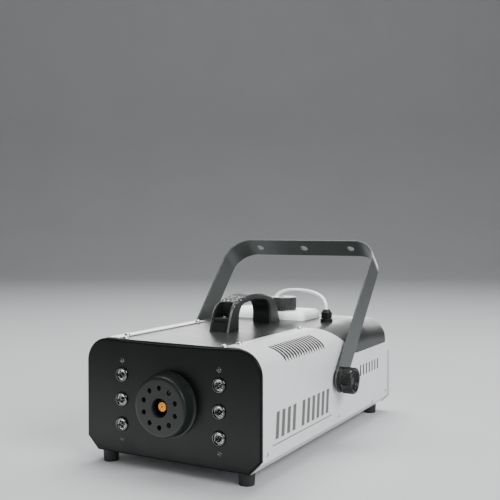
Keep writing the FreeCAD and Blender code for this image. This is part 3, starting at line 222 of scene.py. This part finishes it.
    def between_heights(self, heights):
        """1 between two heights given in millimetres above the case's underside."""
        low, high = (at(0, 0, height).z for height in heights)
        return self.within(self.parts(self.place)["Z"], low, high)

    def dust(self, size, color, amount):
        """Faint specks of a second tone."""
        specks = self.noise(size, detail=1.0)
        return self.tint(self.spread(specks, 0.62, 0.72, 0.0, amount), color)


def powder_coat(name, color, roughness, grain=0.0011, depth=0.00006, edge=None, **constants):
    """Powder-coated sheet: fine orange peel, slow tone clouds, rounded shading at bends, and
    painted highlights along edges if an edge colour is given.
    """
    return powder_surface(name, color, roughness, grain, depth, edge, **constants).material


def powder_surface(name, color, roughness, grain, depth, edge, **constants):
    """Surface of powder-coated sheet that a paint of its own may add to."""
    s = Surface(name, color, roughness)
    s.soft_edges(0.0005)
    s.mottle(0.06, 0.05)
    s.dust(0.0016, tuple(c * 0.8 for c in color), 0.35)
    s.uneven_gloss(0.02, 0.04)
    s.relief(s.noise(grain, detail=2.0), depth)
    s.relief(s.noise(grain * 0.3, detail=1.0), depth * 0.25)
    # An edge colour is a painted highlight along the sheet's edges.
    if edge:
        s.edge_highlight_and_wear(0.0007, edge, 0.7)
    return s.set(**constants)


# Stretches of the covers that hold vents, whose cut walls get painted shade, in millimetres from
# the front and in height.
SHOULDER_VENTS_ALONG = (45, 190)
REAR_VENTS_ALONG = (306, 386)
REAR_VENTS_HEIGHT = (55, 79)


def cover_paint(name):
    """White powder coat with painted highlights along edges; the cut walls of the vents get
    painted shade, and so do narrow gaps.
    """
    # The last colour is a painted highlight along the edges.
    s = powder_surface(name, (0.785, 0.797, 0.812), 0.36, 0.0011, 0.00006, (0.86, 0.87, 0.88),
                       Coat_Weight=0.15, Coat_Roughness=0.2)
    # Painted shade in narrow gaps.
    s.crevice_shade(0.003, (0.10, 0.105, 0.10), 0.8)
    behind = s.math("MULTIPLY", s.along(REAR_VENTS_ALONG), s.between_heights(REAR_VENTS_HEIGHT))
    vents = s.math("MAXIMUM", s.along(SHOULDER_VENTS_ALONG), behind)
    across = s.spread(s.math("ABSOLUTE", s.face_direction()["Y"]), 0.3, 0.5, 0.0, 1.0)
    # Painted shade on the vents' cut walls, the faces that look forwards or backwards.
    s.tint(s.math("MULTIPLY", vents, across), (0.012, 0.014, 0.013))
    return s.material


def yoke_paint(name):
    """Satin black powder coat on flat bar, with painted highlights along the bar's edges."""
    s = powder_surface(name, (0.046, 0.053, 0.050), 0.34, 0.0009, 0.00003, None)
    # Painted highlight along the bar's edges.
    s.edge_highlight_and_wear(0.0014, (0.62, 0.65, 0.64), 0.9)
    return s.material


def moulded(name, color, roughness, grain=0.0006, depth=0.00003, **constants):
    """Moulded plastic: spark-eroded grain, faint flow clouds, softened edges, and paler edges as
    painted highlight and wear.
    """
    s = Surface(name, color, roughness)
    s.soft_edges(0.0005)
    s.mottle(0.02, 0.18)
    s.uneven_gloss(0.008, 0.06)
    s.relief(s.noise(grain, detail=3.0), depth)
    # Paler edges: painted highlight and wear.
    s.edge_highlight_and_wear(0.0005, tuple(min(1.0, c * 2.2 + 0.01) for c in color), 0.5)
    s.set(**constants)
    return s.material


def turned_metal(name, color, roughness, grain=0.00025, depth=0.000008, smudge=0.12):
    """Plated or turned metal: fine tool marks, smudges in the gloss."""
    s = Surface(name, color, roughness, metallic=1.0)
    s.soft_edges(0.0003)
    s.mottle(0.006, 0.15)
    s.uneven_gloss(0.004, smudge)
    s.relief(s.noise(grain, detail=2.0, stretch=(1.0, 0.15, 1.0)), depth)
    return s.material


def make_materials():
    m = {}
    m["cover_white"] = cover_paint("cover_white")
    # The edge colours of the panel and the guard are painted highlights along their edges.
    m["panel_black"] = powder_coat("panel_black", (0.0028, 0.0042, 0.0034), 0.34, grain=0.0008,
                                   depth=0.00003, edge=(0.04, 0.045, 0.04),
                                   Specular_IOR_Level=0.14)
    m["guard_black"] = powder_coat("guard_black", (0.010, 0.013, 0.011), 0.40, grain=0.0008,
                                   depth=0.00003, edge=(0.08, 0.085, 0.08),
                                   Specular_IOR_Level=0.18)
    m["yoke_black"] = yoke_paint("yoke_black")
    m["casing_black"] = glossy_black("casing_black")
    m["handle_black"] = handle_plastic("handle_black")
    m["knob_black"] = knob_plastic("knob_black")
    m["cap_black"] = moulded("cap_black", (0.030, 0.033, 0.032), 0.28)
    m["fitting_black"] = moulded("fitting_black", (0.014, 0.015, 0.016), 0.42)
    m["component_black"] = moulded("component_black", (0.02, 0.02, 0.02), 0.5)
    m["rocker_black"] = moulded("rocker_black", (0.012, 0.012, 0.013), 0.22, depth=0.00001)
    m["foot_rubber"] = rubber("foot_rubber", (0.014, 0.014, 0.014))
    m["spacer_rubber"] = rubber("spacer_rubber", (0.018, 0.018, 0.018))
    m["bright_steel"] = turned_metal("bright_steel", (0.72, 0.73, 0.74), 0.24)
    m["black_steel"] = black_screw("black_steel")
    m["chrome"] = turned_metal("chrome", (0.86, 0.87, 0.88), 0.12, smudge=0.06)
    m["brass"] = turned_metal("brass", (0.40, 0.165, 0.026), 0.36)
    m["copper_pipe"] = turned_metal("copper_pipe", (0.76, 0.38, 0.24), 0.3)
    m["zinc_steel"] = galvanised("zinc_steel")
    m["cast_aluminium"] = turned_metal("cast_aluminium", (0.62, 0.62, 0.61), 0.48, grain=0.0012,
                                       depth=0.0001)
    m["transformer_steel"] = turned_metal("transformer_steel", (0.25, 0.26, 0.28), 0.45)
    m["circuit_board"] = circuit_board("circuit_board")
    m["insulation"] = wool("insulation")
    m["lens_clear"] = clear_lens("lens_clear")
    m["tank_white"] = tank_plastic("tank_white")
    m["hose_white"] = hose_silicone("hose_white")
    m["graphic_grey"] = powder_coat("graphic_grey", (0.105, 0.11, 0.10), 0.45, depth=0.00002)
    m["lamp_die"] = lamp_die("lamp_die")
    m["smoked_chrome"] = turned_metal("smoked_chrome", (0.016, 0.018, 0.018), 0.14, smudge=0.06)
    m["lamp_bezel"] = turned_metal("lamp_bezel", (0.075, 0.08, 0.08), 0.13, smudge=0.05)
    return m


def glossy_black(name):
    """Black lacquered steel: blurred reflections, fine orange peel and polishing haze."""
    s = Surface(name, (0.020, 0.022, 0.021), 0.34)
    s.soft_edges(0.0006)
    s.mottle(0.05, 0.2)
    s.dust(0.0009, (0.05, 0.05, 0.05), 0.3)
    s.uneven_gloss(0.03, 0.03)
    s.relief(s.noise(0.0011, detail=2.0), 0.000004)
    s.set(Specular_IOR_Level=0.45)
    return s.material


HANDLE_PATCH_ALONG = (129, 163)
STIPPLE_SIZE = 0.0036


def handle_plastic(name):
    """Handle plastic: fine grain everywhere, a coarse stippled patch on its front shoulder with
    painted glints on its bumps, painted shade in hollows and painted highlights along edges.
    """
    s = Surface(name, (0.018, 0.021, 0.020), 0.40)
    s.soft_edges(0.0006)
    s.mottle(0.02, 0.15)
    s.uneven_gloss(0.006, 0.06)
    s.relief(s.noise(0.0006), 0.00003)
    stretch = s.along(HANDLE_PATCH_ALONG, 0.002)
    upward = s.spread(s.face_direction()["Z"], 0.35, 0.5, 0.0, 1.0)
    patch = s.math("MULTIPLY", stretch, upward)
    cells = s.node("ShaderNodeTexVoronoi", Scale=1.0 / STIPPLE_SIZE)
    s.link(s.place, cells.inputs["Vector"])
    bumps = s.spread(cells.outputs["Distance"], 0.15, 0.55, 1.0, 0.0)
    stipple = s.math("MULTIPLY", bumps, patch)
    s.relief(stipple, 0.0009)
    # Painted glints on the crests of the stipple bumps.
    s.tint(s.spread(stipple, 0.45, 0.8, 0.0, 0.9), (0.46, 0.49, 0.48))
    # Painted shade in the pocket and other hollows.
    s.crevice_shade(0.02, (0.002, 0.002, 0.002), 0.9)
    # Painted highlight along the edges.
    s.edge_highlight_and_wear(0.0008, (0.11, 0.12, 0.12), 0.6)
    return s.material


def knob_plastic(name):
    """Hard black plastic: painted highlights on the crests of its ribs, painted shade between
    them.
    """
    s = Surface(name, (0.006, 0.008, 0.007), 0.34)
    s.soft_edges(0.0004)
    s.mottle(0.02, 0.18)
    s.uneven_gloss(0.008, 0.06)
    s.relief(s.noise(0.0006), 0.00003)
    # Painted highlight on the rib crests and edges.
    s.edge_highlight_and_wear(0.0005, (0.16, 0.175, 0.17), 0.8)
    # Painted shade between the ribs.
    s.crevice_shade(0.0012, (0.001, 0.001, 0.001), 1.0)
    s.set(Specular_IOR_Level=0.38)
    return s.material


def black_screw(name):
    """Blackened screw with painted highlights on its rim and recess."""
    s = Surface(name, (0.012, 0.013, 0.013), 0.24)
    s.mottle(0.003, 0.2)
    s.uneven_gloss(0.002, 0.05)
    s.relief(s.noise(0.0005), 0.00001)
    # Painted highlight on the rim and in the recess.
    s.edge_highlight_and_wear(0.0004, (0.55, 0.57, 0.57), 0.9)
    return s.material


def rubber(name, color):
    """Matt rubber with dusty specks."""
    s = Surface(name, color, 0.62)
    s.soft_edges(0.0004)
    s.mottle(0.004, 0.3)
    s.dust(0.0008, (0.10, 0.10, 0.10), 0.5)
    s.uneven_gloss(0.003, 0.08)
    s.relief(s.noise(0.0005), 0.00005)
    return s.material


def galvanised(name):
    """Zinc-plated sheet with faint spangles."""
    s = Surface(name, (0.56, 0.57, 0.56), 0.34, metallic=1.0)
    cells = s.node("ShaderNodeTexVoronoi", Scale=1.0 / 0.006)
    s.link(s.place, cells.inputs["Vector"])
    s.tint(s.spread(cells.outputs["Distance"], 0.1, 0.7, 0.0, 0.6), (0.45, 0.46, 0.46))
    s.uneven_gloss(0.006, 0.1)
    s.relief(s.noise(0.0006), 0.00002)
    return s.material


def circuit_board(name):
    """Green solder mask over faint copper tracks."""
    s = Surface(name, (0.012, 0.10, 0.035), 0.3)
    tracks = s.node("ShaderNodeTexBrick", Scale=260.0, Mortar_Size=0.03)
    s.link(s.place, tracks.inputs["Vector"])
    s.tint(s.spread(tracks.outputs["Fac"], 0.2, 0.8, 0.0, 0.8), (0.03, 0.22, 0.08))
    s.uneven_gloss(0.004, 0.08)
    s.relief(tracks.outputs["Fac"], 0.00004)
    return s.material


def wool(name):
    """Ceramic-fibre blanket."""
    s = Surface(name, (0.74, 0.71, 0.62), 0.95)
    s.mottle(0.01, 0.25)
    s.relief(s.noise(0.0014, detail=5.0), 0.0006)
    s.relief(s.noise(0.0005, detail=2.0, stretch=(1.0, 0.2, 1.0)), 0.0002)
    s.set(Sheen_Weight=0.4)
    return s.material


def clear_lens(name):
    """Slightly smoky acrylic optic."""
    s = Surface(name, (0.50, 0.52, 0.52), 0.03)
    s.uneven_gloss(0.003, 0.02)
    s.relief(s.noise(0.0015, detail=1.0), 0.00001)
    s.set(Transmission_Weight=1.0, IOR=1.49)
    return s.material


def lamp_die(name):
    """Dull yellow emitter chip on its grey base."""
    s = Surface(name, (0.20, 0.20, 0.18), 0.4)
    s.tint(s.spread(s.noise(0.0009), 0.45, 0.6, 0.0, 1.0), (0.30, 0.28, 0.16))
    s.relief(s.noise(0.0006), 0.00003)
    return s.material


def tank_plastic(name):
    """Natural blow-moulded polyethylene: milky, waxy, slightly uneven."""
    s = Surface(name, (0.94, 0.95, 0.97), 0.34)
    s.mottle(0.03, 0.04)
    s.uneven_gloss(0.012, 0.06)
    s.relief(s.noise(0.012, detail=2.0), 0.0002)
    s.relief(s.noise(0.0008), 0.00002)
    s.set(Subsurface_Weight=0.2, Subsurface_Scale=0.004)
    s.shader.inputs["Subsurface Radius"].default_value = (1.0, 1.0, 0.95)
    return s.material


def hose_silicone(name):
    """White silicone hose, slightly see-through."""
    s = Surface(name, (0.90, 0.91, 0.90), 0.28)
    s.mottle(0.02, 0.06)
    s.uneven_gloss(0.006, 0.06)
    s.relief(s.noise(0.0010, detail=2.0), 0.00002)
    s.set(Subsurface_Weight=0.3, Subsurface_Scale=0.002)
    s.shader.inputs["Subsurface Radius"].default_value = (1.0, 1.0, 0.95)
    return s.material


# ------------------------------------------------------------------ mesh helpers

def piece(name, mesh, material, body, smooth=45.0):
    """Links a mesh object, shades it smooth up to an angle in degrees, and lets it ride."""
    obj = bpy.data.objects.new(name, mesh)
    bpy.context.scene.collection.objects.link(obj)
    mesh.materials.append(material)
    mesh.polygons.foreach_set("use_smooth", [True] * len(mesh.polygons))
    mesh.set_sharp_from_angle(angle=math.radians(smooth))
    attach(obj, body)
    return obj


def finish_mesh(name, bm):
    """A mesh of the working mesh, with its faces turned outwards."""
    bmesh.ops.recalc_face_normals(bm, faces=bm.faces)
    mesh = bpy.data.meshes.new(name)
    bm.to_mesh(mesh)
    bm.free()
    return mesh


ON_AXIS = 1e-7


def lathe(name, profile, place, segments=96, shape=None):
    """Closed surface of revolution. profile is (radius, height), from axis to axis or a loop.

    place is the matrix of its axis (+Z is the axis). shape(radius, height, angle) may change the
    radius, for flutes and lobes.
    """
    bm = bmesh.new()
    rings = []
    for radius, height in profile:
        if rings and (radius, height) == profile[0]:
            rings.append(rings[0])
            continue
        if radius < ON_AXIS:
            rings.append([bm.verts.new(place @ Vector((0, 0, height)))])
            continue
        ring = []
        for i in range(segments):
            angle = 2 * math.pi * i / segments
            r = shape(radius, height, angle) if shape else radius
            ring.append(bm.verts.new(place @ Vector((r * math.cos(angle), r * math.sin(angle),
                                                     height))))
        rings.append(ring)
    for below, above in zip(rings, rings[1:]):
        for i in range(segments):
            j = (i + 1) % segments
            if len(below) == len(above) == 1:
                continue
            if len(below) == 1:
                bm.faces.new((below[0], above[i], above[j]))
            elif len(above) == 1:
                bm.faces.new((below[i], below[j], above[0]))
            else:
                bm.faces.new((below[i], below[j], above[j], above[i]))
    return finish_mesh(name, bm)


def facing(direction, origin):
    """Matrix whose +Z runs along direction from origin."""
    turn = Vector(direction).to_track_quat("Z", "Y").to_matrix().to_4x4()
    return Matrix.Translation(origin) @ turn


# ------------------------------------------------------------------ pieces

def dress_nodes(m):
    """Gives each CAD node the material of its slot in the record."""
    slots = {entry["node"]: entry["material_slot"] for entry in frame["record"]["subparts"]}
    for name, obj in frame["nodes"].items():
        obj.data.materials.clear()
        obj.data.materials.append(m[slots[name]])


HOSE_DIAMETER = 0.005
# Route of the hose's middle line from inside the gland to the fitting on the tank:
# across, from the front, height.
HOSE_ROUTE = [(0.0750, 0.2900, 0.1505), (0.0750, 0.2900, 0.1610), (0.0707, 0.2917, 0.1715),
              (0.0600, 0.2960, 0.1778), (0.0440, 0.3024, 0.1812), (0.0220, 0.3110, 0.1820),
              (-0.0040, 0.3213, 0.1803), (-0.0205, 0.3276, 0.1745), (-0.0300, 0.3315, 0.1665),
              (-0.0340, 0.3330, 0.1565)]


def make_hose(m):
    """The suction hose as one smooth curve from the gland to the tank's fitting."""
    curve = bpy.data.curves.new("suction_hose_line", "CURVE")
    curve.dimensions = "3D"
    spline = curve.splines.new("NURBS")
    spline.points.add(len(HOSE_ROUTE) - 1)
    for point, place in zip(spline.points, HOSE_ROUTE):
        point.co = (*(CASE_ORIGIN + Vector(place)), 1.0)
    spline.order_u = 3
    spline.use_endpoint_u = True
    spline.resolution_u = 16
    curve.bevel_depth = HOSE_DIAMETER / 2
    curve.bevel_resolution = 8
    curve.use_fill_caps = True
    curve.materials.append(m["hose_white"])
    hose = bpy.data.objects.new("hose", curve)
    bpy.context.scene.collection.objects.link(hose)
    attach(hose, "tank")
    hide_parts("suction_hose")


def lamp_places():
    """Across and height, in metres, of each lamp: two columns of three, from the top down."""
    return [(side * LAMP_ACROSS, LAMP_HEIGHT + step * LAMP_PITCH)
            for side in (-1, 1) for step in (1, 0, -1)]


# Profiles of one lamp, in millimetres: radius, and distance out of the panel's face.
BEZEL_PROFILE = [(6.75, -9.0), (7.8, -9.0), (7.8, -0.02), (9.0, -0.02), (9.0, 0.7), (8.85, 1.2),
                 (8.5, 1.75), (8.0, 2.15), (7.6, 2.35), (7.25, 2.4), (6.98, 2.3), (6.8, 2.0),
                 (6.75, 1.5), (6.75, -9.0)]
OPTIC_PROFILE = [(0.0, 0.9), (0.9, 0.85), (1.6, 0.4), (2.1, -0.5), (2.5, -0.9), (3.1, -0.7),
                 (3.9, 0.1), (4.9, 0.9), (5.7, 1.2), (6.3, 1.15), (6.62, 0.8), (6.65, -0.6),
                 (5.9, -3.2), (4.6, -5.6), (3.1, -7.0), (2.5, -7.1), (2.4, -5.4), (1.3, -4.2),
                 (0.0, -3.9)]
DISH_PROFILE = [(6.72, -0.9), (6.3, -2.4), (5.5, -4.6), (4.3, -6.6), (3.2, -7.7), (2.6, -8.0),
                (0.0, -8.0), (0.0, -8.9), (6.72, -8.9), (6.72, -0.9)]
DIE_PROFILE = [(0.0, -6.3), (1.2, -6.4), (1.7, -6.8), (1.8, -7.95), (0.0, -7.95)]


def scaled(profile):
    """A profile in metres."""
    return [(r * MM, h * MM) for r, h in profile]


PETALS, PETAL_DEPTH = 12, 0.035
DISH_RADIUS = 6.7 * MM


def petals(radius, height, angle):
    """Twelve facets pressed into the lamp's dish, deepest half-way down."""
    depth = PETAL_DEPTH * radius * math.sin(math.pi * min(1.0, radius / DISH_RADIUS))
    return radius + depth * (abs(math.sin(PETALS / 2 * angle)) - 0.5)


def make_lamps(m):
    """Six lamps: turned bezel, faceted dish, tinted optic and emitter."""
    for i, (x, height) in enumerate(lamp_places()):
        place = facing((0, -1, 0), CASE_ORIGIN + Vector((x, 0, height)))
        names = [f"lamp_{part}_{i}" for part in ("bezel", "dish", "optic", "die")]
        bezel = piece(names[0], lathe(names[0], scaled(BEZEL_PROFILE), place),
                      m["lamp_bezel"], "case", 30)
        dish = piece(names[1], lathe(names[1], scaled(DISH_PROFILE), place, shape=petals),
                     m["smoked_chrome"], "case", 30)
        optic = piece(names[2], lathe(names[2], scaled(OPTIC_PROFILE), place),
                      m["lens_clear"], "case")
        piece(names[3], lathe(names[3], scaled(DIE_PROFILE), place, segments=24),
              m["lamp_die"], "case")
        if i == 0:
            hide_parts("lamp_bezels")
            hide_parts("lamp_reflectors")
            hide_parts("lamp_lenses")


PIVOT_HEIGHT = 71.5
# Profile of a clamp knob, in millimetres: radius, and distance out from its inner face.
KNOB_PROFILE = [(0.0, 0.0), (15.6, 0.0), (16.9, 0.25), (17.6, 0.9), (17.85, 1.6), (17.9, 2.0),
                (18.0, 2.6), (18.0, 7.5), (18.0, 12.8), (17.95, 13.4), (17.95, 13.9),
                (17.95, 15.0), (17.8, 15.9), (17.4, 16.7), (16.7, 17.25), (15.8, 17.5),
                (14.7, 17.45), (13.7, 17.1), (13.0, 16.4), (12.5, 15.4), (12.1, 14.2),
                (11.5, 13.3), (10.5, 12.9), (7.2, 12.8), (6.5, 13.0), (6.1, 13.6), (5.5, 13.9),
                (4.0, 14.0), (0.0, 14.05)]
RIBS, RIB_DEPTH = 48, 0.9
RIBS_START, RIBS_END = 2.5, 13.0
SCALLOPS, SCALLOP_DEPTH, SCALLOP_ANGLE = 3, 2.2, math.radians(-144.0)
# Share of a scallop's depth from which the rim is smooth, and the rim's inner radius and fade.
SMOOTH_FROM = 0.62
RIM_START, RIM_FADE = 14.0, 3.0


def knob_shape(radius, height, angle):
    """Radius of the knob: smooth scallops, and ribs on the sectors between them."""
    outer = max(0.0, min(1.0, (radius / MM - RIM_START) / RIM_FADE))
    near = (1.0 + math.cos((angle - SCALLOP_ANGLE) * SCALLOPS)) / 2.0
    scallop = SCALLOP_DEPTH * near ** 3
    ribbed = 1.0 if RIBS_START < height / MM < RIBS_END and near < SMOOTH_FROM else 0.0
    crest = ((1.0 + math.cos(angle * RIBS)) / 2.0) ** 2
    rib = RIB_DEPTH * (1.0 - crest) * ribbed
    return radius - (scallop + rib) * outer * MM


def make_knobs(m):
    """The grips of both clamp knobs, each in front of its CAD node's stud and washer."""
    for label, side in (("left_knob", -1), ("right_knob", 1)):
        low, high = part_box(label)
        inner = Vector((low.x if side > 0 else high.x, (low.y + high.y) / 2, 0.0))
        inner.z = at(0, 0, PIVOT_HEIGHT).z
        # The lathe's X runs along +Y, its Y along +Z, and its axis outwards from the case.
        across = Vector((side, 0, 0))
        turn = Matrix((Vector((0, 1, 0)), Vector((0, 0, 1)), across)).transposed()
        place = Matrix.Translation(inner) @ turn.to_4x4()
        mesh = lathe(label + "_grip", scaled(KNOB_PROFILE), place, 480, knob_shape)
        grip = piece(label + "_grip", mesh, m["knob_black"], label, 50)
        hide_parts(label)


BAR_GROUPS = ((40.0, 4), (110.0, 6))
BAR_PITCH, BAR_WIDTH, BAR_LEAN = 14.8, 8.0, 3.0
BAR_LOW, BAR_HIGH = 32.5, 63.5
UNDERLINE_ALONG, UNDERLINE_HEIGHT = (33.6, 204.0), (26.3, 27.4)
COVER_FACE, PRINT_LIFT, PRINT_SINK = 120.0, 0.12, 0.1


def thin_plate(bm, corners, side):
    """Thin closed plate on a side cover; corners are (from front, height) in millimetres."""
    near = side * (COVER_FACE - PRINT_SINK)
    far = side * (COVER_FACE + PRINT_LIFT)
    inner = [bm.verts.new(at(near, y, z)) for y, z in corners]
    outer = [bm.verts.new(at(far, y, z)) for y, z in corners]
    bm.faces.new(inner)
    bm.faces.new(list(reversed(outer)))
    for i in range(len(corners)):
        j = (i + 1) % len(corners)
        bm.faces.new((inner[i], inner[j], outer[j], outer[i]))


def make_side_graphics(m):
    """Plain slanted bars and an underline printed on each side cover."""
    for label, side in (("left", -1), ("right", 1)):
        bm = bmesh.new()
        for start, count in BAR_GROUPS:
            for i in range(count):
                y = start + i * BAR_PITCH
                thin_plate(bm, [(y, BAR_LOW), (y + BAR_WIDTH, BAR_LOW),
                                (y + BAR_WIDTH + BAR_LEAN, BAR_HIGH), (y + BAR_LEAN, BAR_HIGH)],
                           side)
        (near, far), (low, high) = UNDERLINE_ALONG, UNDERLINE_HEIGHT
        thin_plate(bm, [(near, low), (far, low), (far, high), (near, high)], side)
        mesh = finish_mesh(f"side_graphic_{label}", bm)
        piece(f"side_graphic_{label}", mesh, m["graphic_grey"], "case")


# ------------------------------------------------------------------ stage, light and camera

VIEW_TURN = 0.5052


def make_stage():
    """Pale floor that curves up into a pale wall far behind the machine, square to the view."""
    bm = bmesh.new()
    half, bend, reach, tall = 9.0, 2.5, 6.0, 6.0
    line = [(-reach, 0.0), (reach - bend, 0.0)]
    line += [(reach - bend + bend * math.sin(a), bend - bend * math.cos(a))
             for a in (math.radians(9 * i) for i in range(1, 11))]
    line.append((reach, tall))
    rows = [[bm.verts.new((x, y, z)) for y, z in line] for x in (-half, half)]
    for i in range(len(line) - 1):
        bm.faces.new((rows[0][i], rows[1][i], rows[1][i + 1], rows[0][i + 1]))
    mesh = finish_mesh("floor", bm)
    mesh.polygons.foreach_set("use_smooth", [True] * len(mesh.polygons))
    floor = bpy.data.objects.new("floor", mesh)
    floor.rotation_euler.z = VIEW_TURN
    bpy.context.scene.collection.objects.link(floor)
    s = Surface("floor_paint", (0.62, 0.63, 0.64), 0.7)
    s.mottle(0.5, 0.03)
    s.relief(s.noise(0.004), 0.0001)
    mesh.materials.append(s.material)


def area_light(name, place, target, size, power):
    """Soft rectangular light that lights and shows in gloss, and isn't seen itself."""
    light = bpy.data.lights.new(name, "AREA")
    light.shape = "RECTANGLE"
    light.size, light.size_y = size
    light.energy = power
    obj = bpy.data.objects.new(name, light)
    bpy.context.scene.collection.objects.link(obj)
    obj.location = place
    obj.rotation_euler = (Vector(target) - Vector(place)).to_track_quat("-Z", "Y").to_euler()
    obj.visible_camera = False
    return obj


def make_light():
    """Pale even world, soft lights, and a card on the floor under the front panel."""
    world = bpy.data.worlds.new("studio")
    bpy.context.scene.world = world
    world.use_nodes = True
    background = world.node_tree.nodes["Background"]
    background.inputs["Color"].default_value = (0.86, 0.88, 0.90, 1.0)
    background.inputs["Strength"].default_value = 0.22
    area_light("key_right", (2.2, -0.7, 1.6), (0.0, 0.0, 0.1), (1.6, 1.2), 66.0)
    area_light("top_soft", (-0.3, 0.6, 2.4), (0.0, 0.1, 0.1), (2.2, 1.6), 80.0)
    area_light("front_fill", (0.5, -2.6, 1.6), (0.0, 0.0, 0.1), (1.6, 1.0), 8.0)
    tank_fill = area_light("tank_fill", (0.5, -2.6, 1.5), (0.0, 0.1, 0.15), (1.6, 1.0), 95.0)
    rear = area_light("rear_low", (-1.5, 3.2, 0.75), (0.0, 0.1, 0.15), (4.5, 1.3), 95.0)
    card = area_light("low_card", (-0.25, -0.42, 0.004), (-0.25, -0.42, 1.0), (0.7, 0.34), 1.9)
    machine = [obj for obj in bpy.context.scene.objects
               if obj.type in {"MESH", "CURVE"} and obj.name != "floor"]
    light_only("machine", machine, rear, card)
    light_only("tank_group", [frame["nodes"]["fluid_tank"], frame["nodes"]["tank_cap"],
                              bpy.data.objects["hose"]], tank_fill)


def light_only(name, receivers, *lights):
    """Flags lights so that they reach only the receivers, as flags and cards do in a studio."""
    group = bpy.data.collections.new(name)
    for obj in receivers:
        group.objects.link(obj)
    for light in lights:
        light.light_linking.receiver_collection = group


def make_camera():
    """Viewpoint to the right of the front, a little higher than the yoke."""
    camera = bpy.data.cameras.new("camera")
    obj = bpy.data.objects.new("camera", camera)
    bpy.context.scene.collection.objects.link(obj)
    obj.location = (0.51949, -0.95383, 0.28681)
    obj.rotation_euler = (math.pi / 2 - 0.0256, 0.0, VIEW_TURN)
    camera.sensor_width = 36.0
    camera.lens = 55.7
    camera.clip_start, camera.clip_end = 0.05, 30.0
    bpy.context.scene.camera = obj


# ------------------------------------------------------------------ scene

materials = make_materials()
make_camera()
make_hose(materials)
dress_nodes(materials)
make_lamps(materials)
make_knobs(materials)
make_side_graphics(materials)
make_stage()
make_light()
